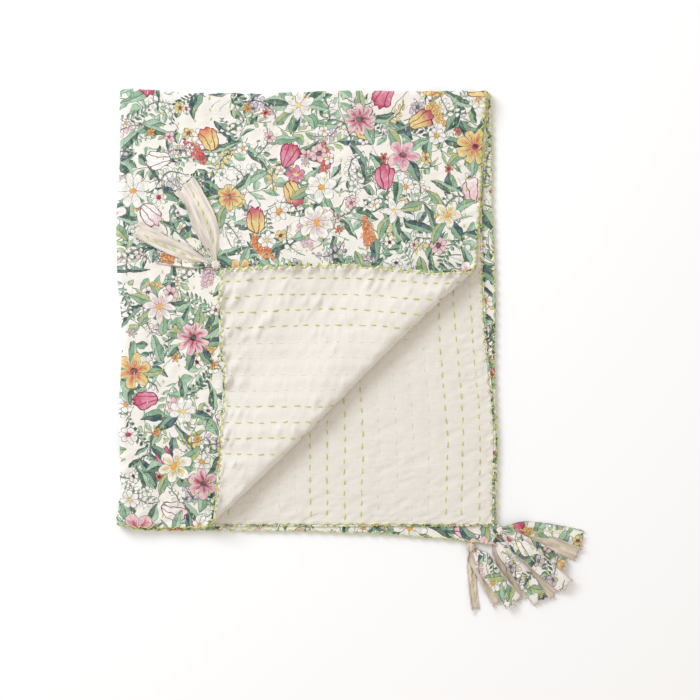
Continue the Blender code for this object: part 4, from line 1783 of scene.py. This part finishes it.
def print_spikes(printer):
    at = printer.scattered(0.118, 0.8, 9.1, 0.8)
    made = printer.shape("spike", at, Length=0.026, Width=0.0088, Bud=0.0040)
    pales, deeps = (GOLD, CORAL, LILAC, YELLOW), (CORAL, MAGENTA, BLUSH, GOLD)
    pale, deep = printer.pick(at["First chance"], pales, deeps)
    printer.paint(made["Inside"], printer.mix(made["Bud chance"], pale, deep), made["Ink"], WINE, 0.7)


def print_blooms(printer):
    for row in BLOOMS:
        at = printer.scattered(row["pitch"], row["turn"], row["shift"])
        sizes = {name.capitalize(): row[name] for name in ("reach", "petals", "notch", "roundness")}
        made = printer.shape("open_flower", at, Line=0.00055, **sizes)
        there = made["Inside"] * at["Second chance"].above(row["keep"], row["keep"] + 0.001)
        fill, heart = printer.pick(at["First chance"], row["fill"], row["heart"])
        printer.paint(there, printer.mix(made["Out"].within(0.30, 0.05), fill, heart), made["Ink"])


def print_cups(printer):
    at = printer.scattered(0.092, 2.6, 17.3, 0.75)
    made = printer.shape("cup", at, Length=0.0190, Width=0.0128)
    there = made["Inside"] * at["Second chance"].above(0.25, 0.251)
    bases, tips = (YELLOW, WHITE, BLUSH, PINK, WHITE, YELLOW), (MAGENTA, BLUSH, WHITE, MAGENTA, WHITE, CORAL)
    base, tip = printer.pick(at["First chance"], bases, tips)
    printer.paint(there, printer.mix(made["Run"].above(0.35, 0.95), base, tip), made["Ink"], WINE)


def print_big_flowers(printer):
    """The largest flowers, each on its own ring of leaves."""
    at = printer.scattered(BIG_FLOWER_PITCH, 0.35, 21.7)
    chance, other = at["First chance"], at["Second chance"]
    there = (other * 311.0).fraction().above(0.15, 0.151)
    leaves = (other * 97.0).fraction() * 3.99 + 4.0
    ring = printer.shape("ring", at, Leaves=leaves, Start=0.004, Length=0.0200, Chance=other)
    bend = (ring["Leaf chance"] - 0.5) * 0.8
    leaf = printer.shape("leaf", ring, Length=0.0205, Width=0.0066, Bend=bend)
    grown = leaf["Inside"] * there * ring["Leaf chance"].above(0.22, 0.221)
    lights, darks = (MINT, MINT, SAGE, LIME, MINT), (TEAL, SAGE, TEAL, SAGE, FOREST)
    light, dark = printer.pick(ring["Leaf chance"], lights, darks)
    printer.paint(grown, printer.mix(leaf["Side"], light, dark), leaf["Ink"])
    reach = other * BIG_FLOWER_SPREAD + BIG_FLOWER_REACH
    petals = ((other * 7919.0).fraction() * 3.99 + 5).whole()
    notch = (chance * 131.0).fraction() * 0.3 + 0.32
    roundness = (chance * 57.0).fraction() * 2.4 + 1.1
    edge = {"Notch": notch, "Roundness": roundness, "Line": 0.00065}
    made = printer.shape("open_flower", at, Reach=reach, Petals=petals, **edge)
    outer, inner, heart = printer.pick(chance, *BIG_FLOWERS.values())
    fill = printer.mix(made["Star"], outer, inner)
    fill = printer.mix(made["Out"].within(0.19, 0.03), fill, heart)
    printer.paint(made["Inside"] * there, fill, made["Ink"], INK, 0.8)


def flower_print_group():
    """The garden print, by place on the cut in metres."""
    tree, given, out = new_group("flower_print", {"Across": 0.0, "Along": 0.0}, ["Print Colour"])
    sway = noise_at(tree, given["Across"], given["Along"], 55.0, 2.0)
    sway_across, sway_along, _ = parts_of(tree, sway["Color"], "colour")
    across = given["Across"] + (sway_across - 0.5) * MOTIF_SWAY
    along = given["Along"] + (sway_along - 0.5) * MOTIF_SWAY
    printer = Printer(tree, across, along)
    for step in (
        print_stems,
        print_sprays,
        print_leaves,
        print_berries,
        print_spikes,
        print_blooms,
        print_cups,
        print_big_flowers,
    ):
        step(printer)
    return filled(tree, out, Print_Colour=printer.colour)


# ---- The weave ----

SLUB_SHADE = 0.09
CLOUD_SHADE = 0.05
WEAVE_SHADE = 0.012
SLUB_HEIGHT = 0.00022
WEAVE_HEIGHT = 0.00006
CRINKLE_HEIGHT = 0.00055


def washed_weave_group():
    """Slubby plain weave: a shade of about 1 for the colour, and a height for the bump."""
    inputs = {"Across": 0.0, "Along": 0.0, "Thread": 0.00055}
    tree, given, out = new_group("washed_weave", inputs, ["Shade", "Height"])
    across, along, thread = given["Across"], given["Along"], given["Thread"]
    warp = (across / thread * (2 * math.pi)).sine()
    weft = (along / thread * (2 * math.pi)).sine()
    slub_across = grain(tree, across * 34, along * 1300, 1.0, 1.0)
    slub_along = grain(tree, across * 1300, along * 34, 1.0, 1.0)
    cloudy = grain(tree, across, along, 19.0, 3.0)
    crinkle = grain(tree, across * 110, along * 420)
    shade = 1 + (slub_across - 0.5) * SLUB_SHADE + (slub_along - 0.5) * SLUB_SHADE
    shade = shade + (cloudy - 0.5) * CLOUD_SHADE + warp * weft * WEAVE_SHADE
    height = (slub_across + slub_along) * SLUB_HEIGHT + warp * weft * WEAVE_HEIGHT + crinkle * CRINKLE_HEIGHT
    return filled(tree, out, Shade=shade, Height=height)


MOTIFS = {
    "scatter": scatter_group(),
    "open_flower": open_flower_group(),
    "leaf": leaf_group(),
    "ring": leaf_ring_group(),
    "cup": cup_flower_group(),
    "spray": spray_group(),
    "spike": spike_group(),
}
FLOWER_PRINT = flower_print_group()
WASHED_WEAVE = washed_weave_group()


# ---- Materials ----

PLY_LENGTH = 0.0016
PLY_DEPTH = 0.00025


def new_material(name, **inputs):
    """A material with some of its shader's inputs set by name."""
    made = bpy.data.materials.new(name)
    made.use_nodes = True
    shader = made.node_tree.nodes["Principled BSDF"]
    feed_all(shader.inputs, inputs)
    return made, made.node_tree, shader


def cut_place(tree):
    """(across, along) on the cut, in metres, from the piece's own map."""
    chart = tree.nodes.new("ShaderNodeUVMap")
    chart.uv_map = "cut"
    u, v, _ = parts_of(tree, chart.outputs["UV"], "vector")
    return (u - 0.5) * CUT_WIDTH, (v - 0.5) * CUT_LENGTH


def bump(tree, shader, height, strength):
    raised = place_node(tree, "ShaderNodeBump", Strength=strength, Distance=1.0, Height=height)
    feed(shader.inputs["Normal"], raised["Normal"])


def cotton(name, colour=None, drawn_up=False):
    """Washed cotton, in a plain colour or printed. Drawn up into strips, it gets painted shade in streaks
    along them.
    """
    looks = {"Roughness": 0.92, "Sheen_Weight": 0.05, "Sheen_Roughness": 0.6, "Specular_IOR_Level": 0.25}
    made, tree, shader = new_material(name, **looks)
    across, along = cut_place(tree)
    weave = place_group(tree, WASHED_WEAVE, Across=across, Along=along)
    colour = colour or place_group(tree, FLOWER_PRINT, Across=across, Along=along)["Print Colour"]
    shade = weave["Shade"]
    if drawn_up:
        # Painted shade: darker streaks along a strip, where its creases and pleats fall in shade
        streaks = grain(tree, across * 210, along * 22, 1.0, 2.0)
        shade = shade * streaks.ramp(0.30, 0.62, *STRIP_CREASE_PAINTED_SHADES)
    feed(shader.inputs["Base Color"], shaded(tree, shade, colour))
    bump(tree, shader, weave["Height"], 0.55)
    return made


def twisted_thread(name, colour):
    """Soft two-ply thread, with painted shade in the grooves between its plies."""
    made, tree, shader = new_material(name, Roughness=0.7, Sheen_Weight=0.15)
    kept = []
    for attribute in ("run", "round"):
        node = tree.nodes.new("ShaderNodeAttribute")
        node.attribute_name = attribute
        kept.append(Field(tree, node.outputs["Fac"]))
    run, turn = kept
    groove = (run / PLY_LENGTH + turn * 2.0).zigzag().above(0.55, 1.0)
    place = place_node(tree, "ShaderNodeTexCoord")["Object"]
    x, y, _ = parts_of(tree, place, "vector")
    # Painted shade in the grooves between the plies, and a tone that is lighter or darker at random
    shade = 0.86 + grain(tree, x, y, 70.0) * 0.34 - groove * 0.30
    feed(shader.inputs["Base Color"], shaded(tree, shade, colour))
    bump(tree, shader, groove * -PLY_DEPTH, 0.6)
    return made


# ---- The studio ----

CAMERA_HEIGHT = 2.2
VIEW_WIDTH = 0.9545
VIEW_CENTRE = (0.3137, -0.3537)
WINDOW_PLACE = (-1.75, 1.6, 1.95)
WINDOW_SIZE = 1.5
WINDOW_POWER = 58.0
WINDOW_COLOUR = (0.82, 0.91, 1.0)
SKY_COLOUR = (1.0, 0.935, 0.865)
SKY_STRENGTH = 0.76
FLOOR_REACH = 4.0
FLOOR_DROP = 0.0002


def add_camera():
    """The camera, straight over the stack."""
    camera = add_object("camera", bpy.data.cameras.new("camera"))
    camera.data.lens = camera.data.sensor_width / 2 / (VIEW_WIDTH / 2 / CAMERA_HEIGHT)
    camera.location = STACK + Vector((*VIEW_CENTRE, CAMERA_HEIGHT))
    bpy.context.scene.camera = camera


def add_window():
    """One large soft light, aimed at the quilt."""
    light = bpy.data.lights.new("window", "AREA")
    light.shape = "DISK"
    light.size = WINDOW_SIZE
    light.energy = WINDOW_POWER
    light.color = WINDOW_COLOUR
    window = add_object("window", light)
    window.location = WINDOW_PLACE
    window.rotation_euler = (-Vector(WINDOW_PLACE)).to_track_quat("-Z", "Y").to_euler()


def add_studio():
    """The floor, just under the quilt, with the window and a pale sky."""
    mesh = bpy.data.meshes.new("floor")
    ways = ((-1, -1), (1, -1), (1, 1), (-1, 1))
    mesh.from_pydata([(x * FLOOR_REACH, y * FLOOR_REACH, -FLOOR_DROP) for x, y in ways], [], [(0, 1, 2, 3)])
    looks = {"Base_Color": PALE_FLOOR, "Roughness": 0.9, "Specular_IOR_Level": 0.0}
    mesh.materials.append(new_material("pale_floor", **looks)[0])
    add_object("floor", mesh)
    add_window()
    world = bpy.data.worlds.new("studio")
    world.use_nodes = True
    sky = world.node_tree.nodes["Background"]
    feed(sky.inputs["Color"], SKY_COLOUR)
    feed(sky.inputs["Strength"], SKY_STRENGTH)
    bpy.context.scene.world = world
    bpy.context.scene.view_settings.view_transform = "Standard"


def build_quilt():
    """Every piece of the quilt, declared to the frame."""
    finishes = {
        "print": cotton("printed_cotton"),
        "plain": cotton("plain_cotton", CREAM),
        # The strips' plain sides: the cream with painted shade, deeper in the pile than at the turned corner
        "strip": cotton("shaded_torn_cotton", SHADED_STRIP_CREAM, drawn_up=True),
        "pale strip": cotton("lightly_shaded_torn_cotton", LIGHTLY_SHADED_STRIP_CREAM, drawn_up=True),
        "green": twisted_thread("green_thread", GREEN_THREAD),
        "pale": twisted_thread("pale_thread", PALE_THREAD),
    }
    printed = cloth("printed_cloth", "print", finishes["print"])
    plain = cloth("plain_cloth", "plain", finishes["plain"])
    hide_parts("front_cloth")
    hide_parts("back_cloth")
    stitches = running_stitches(finishes)
    hems = hem_stitches(finishes["green"])
    tassels = []
    for number, (name, tassel) in enumerate(TASSELS.items()):
        tassels += tassel_pieces(name, tassel, number, finishes)
    for piece in [printed, plain, *stitches, hems, *tassels]:
        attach(piece, "root")


add_camera()
build_quilt()
add_studio()
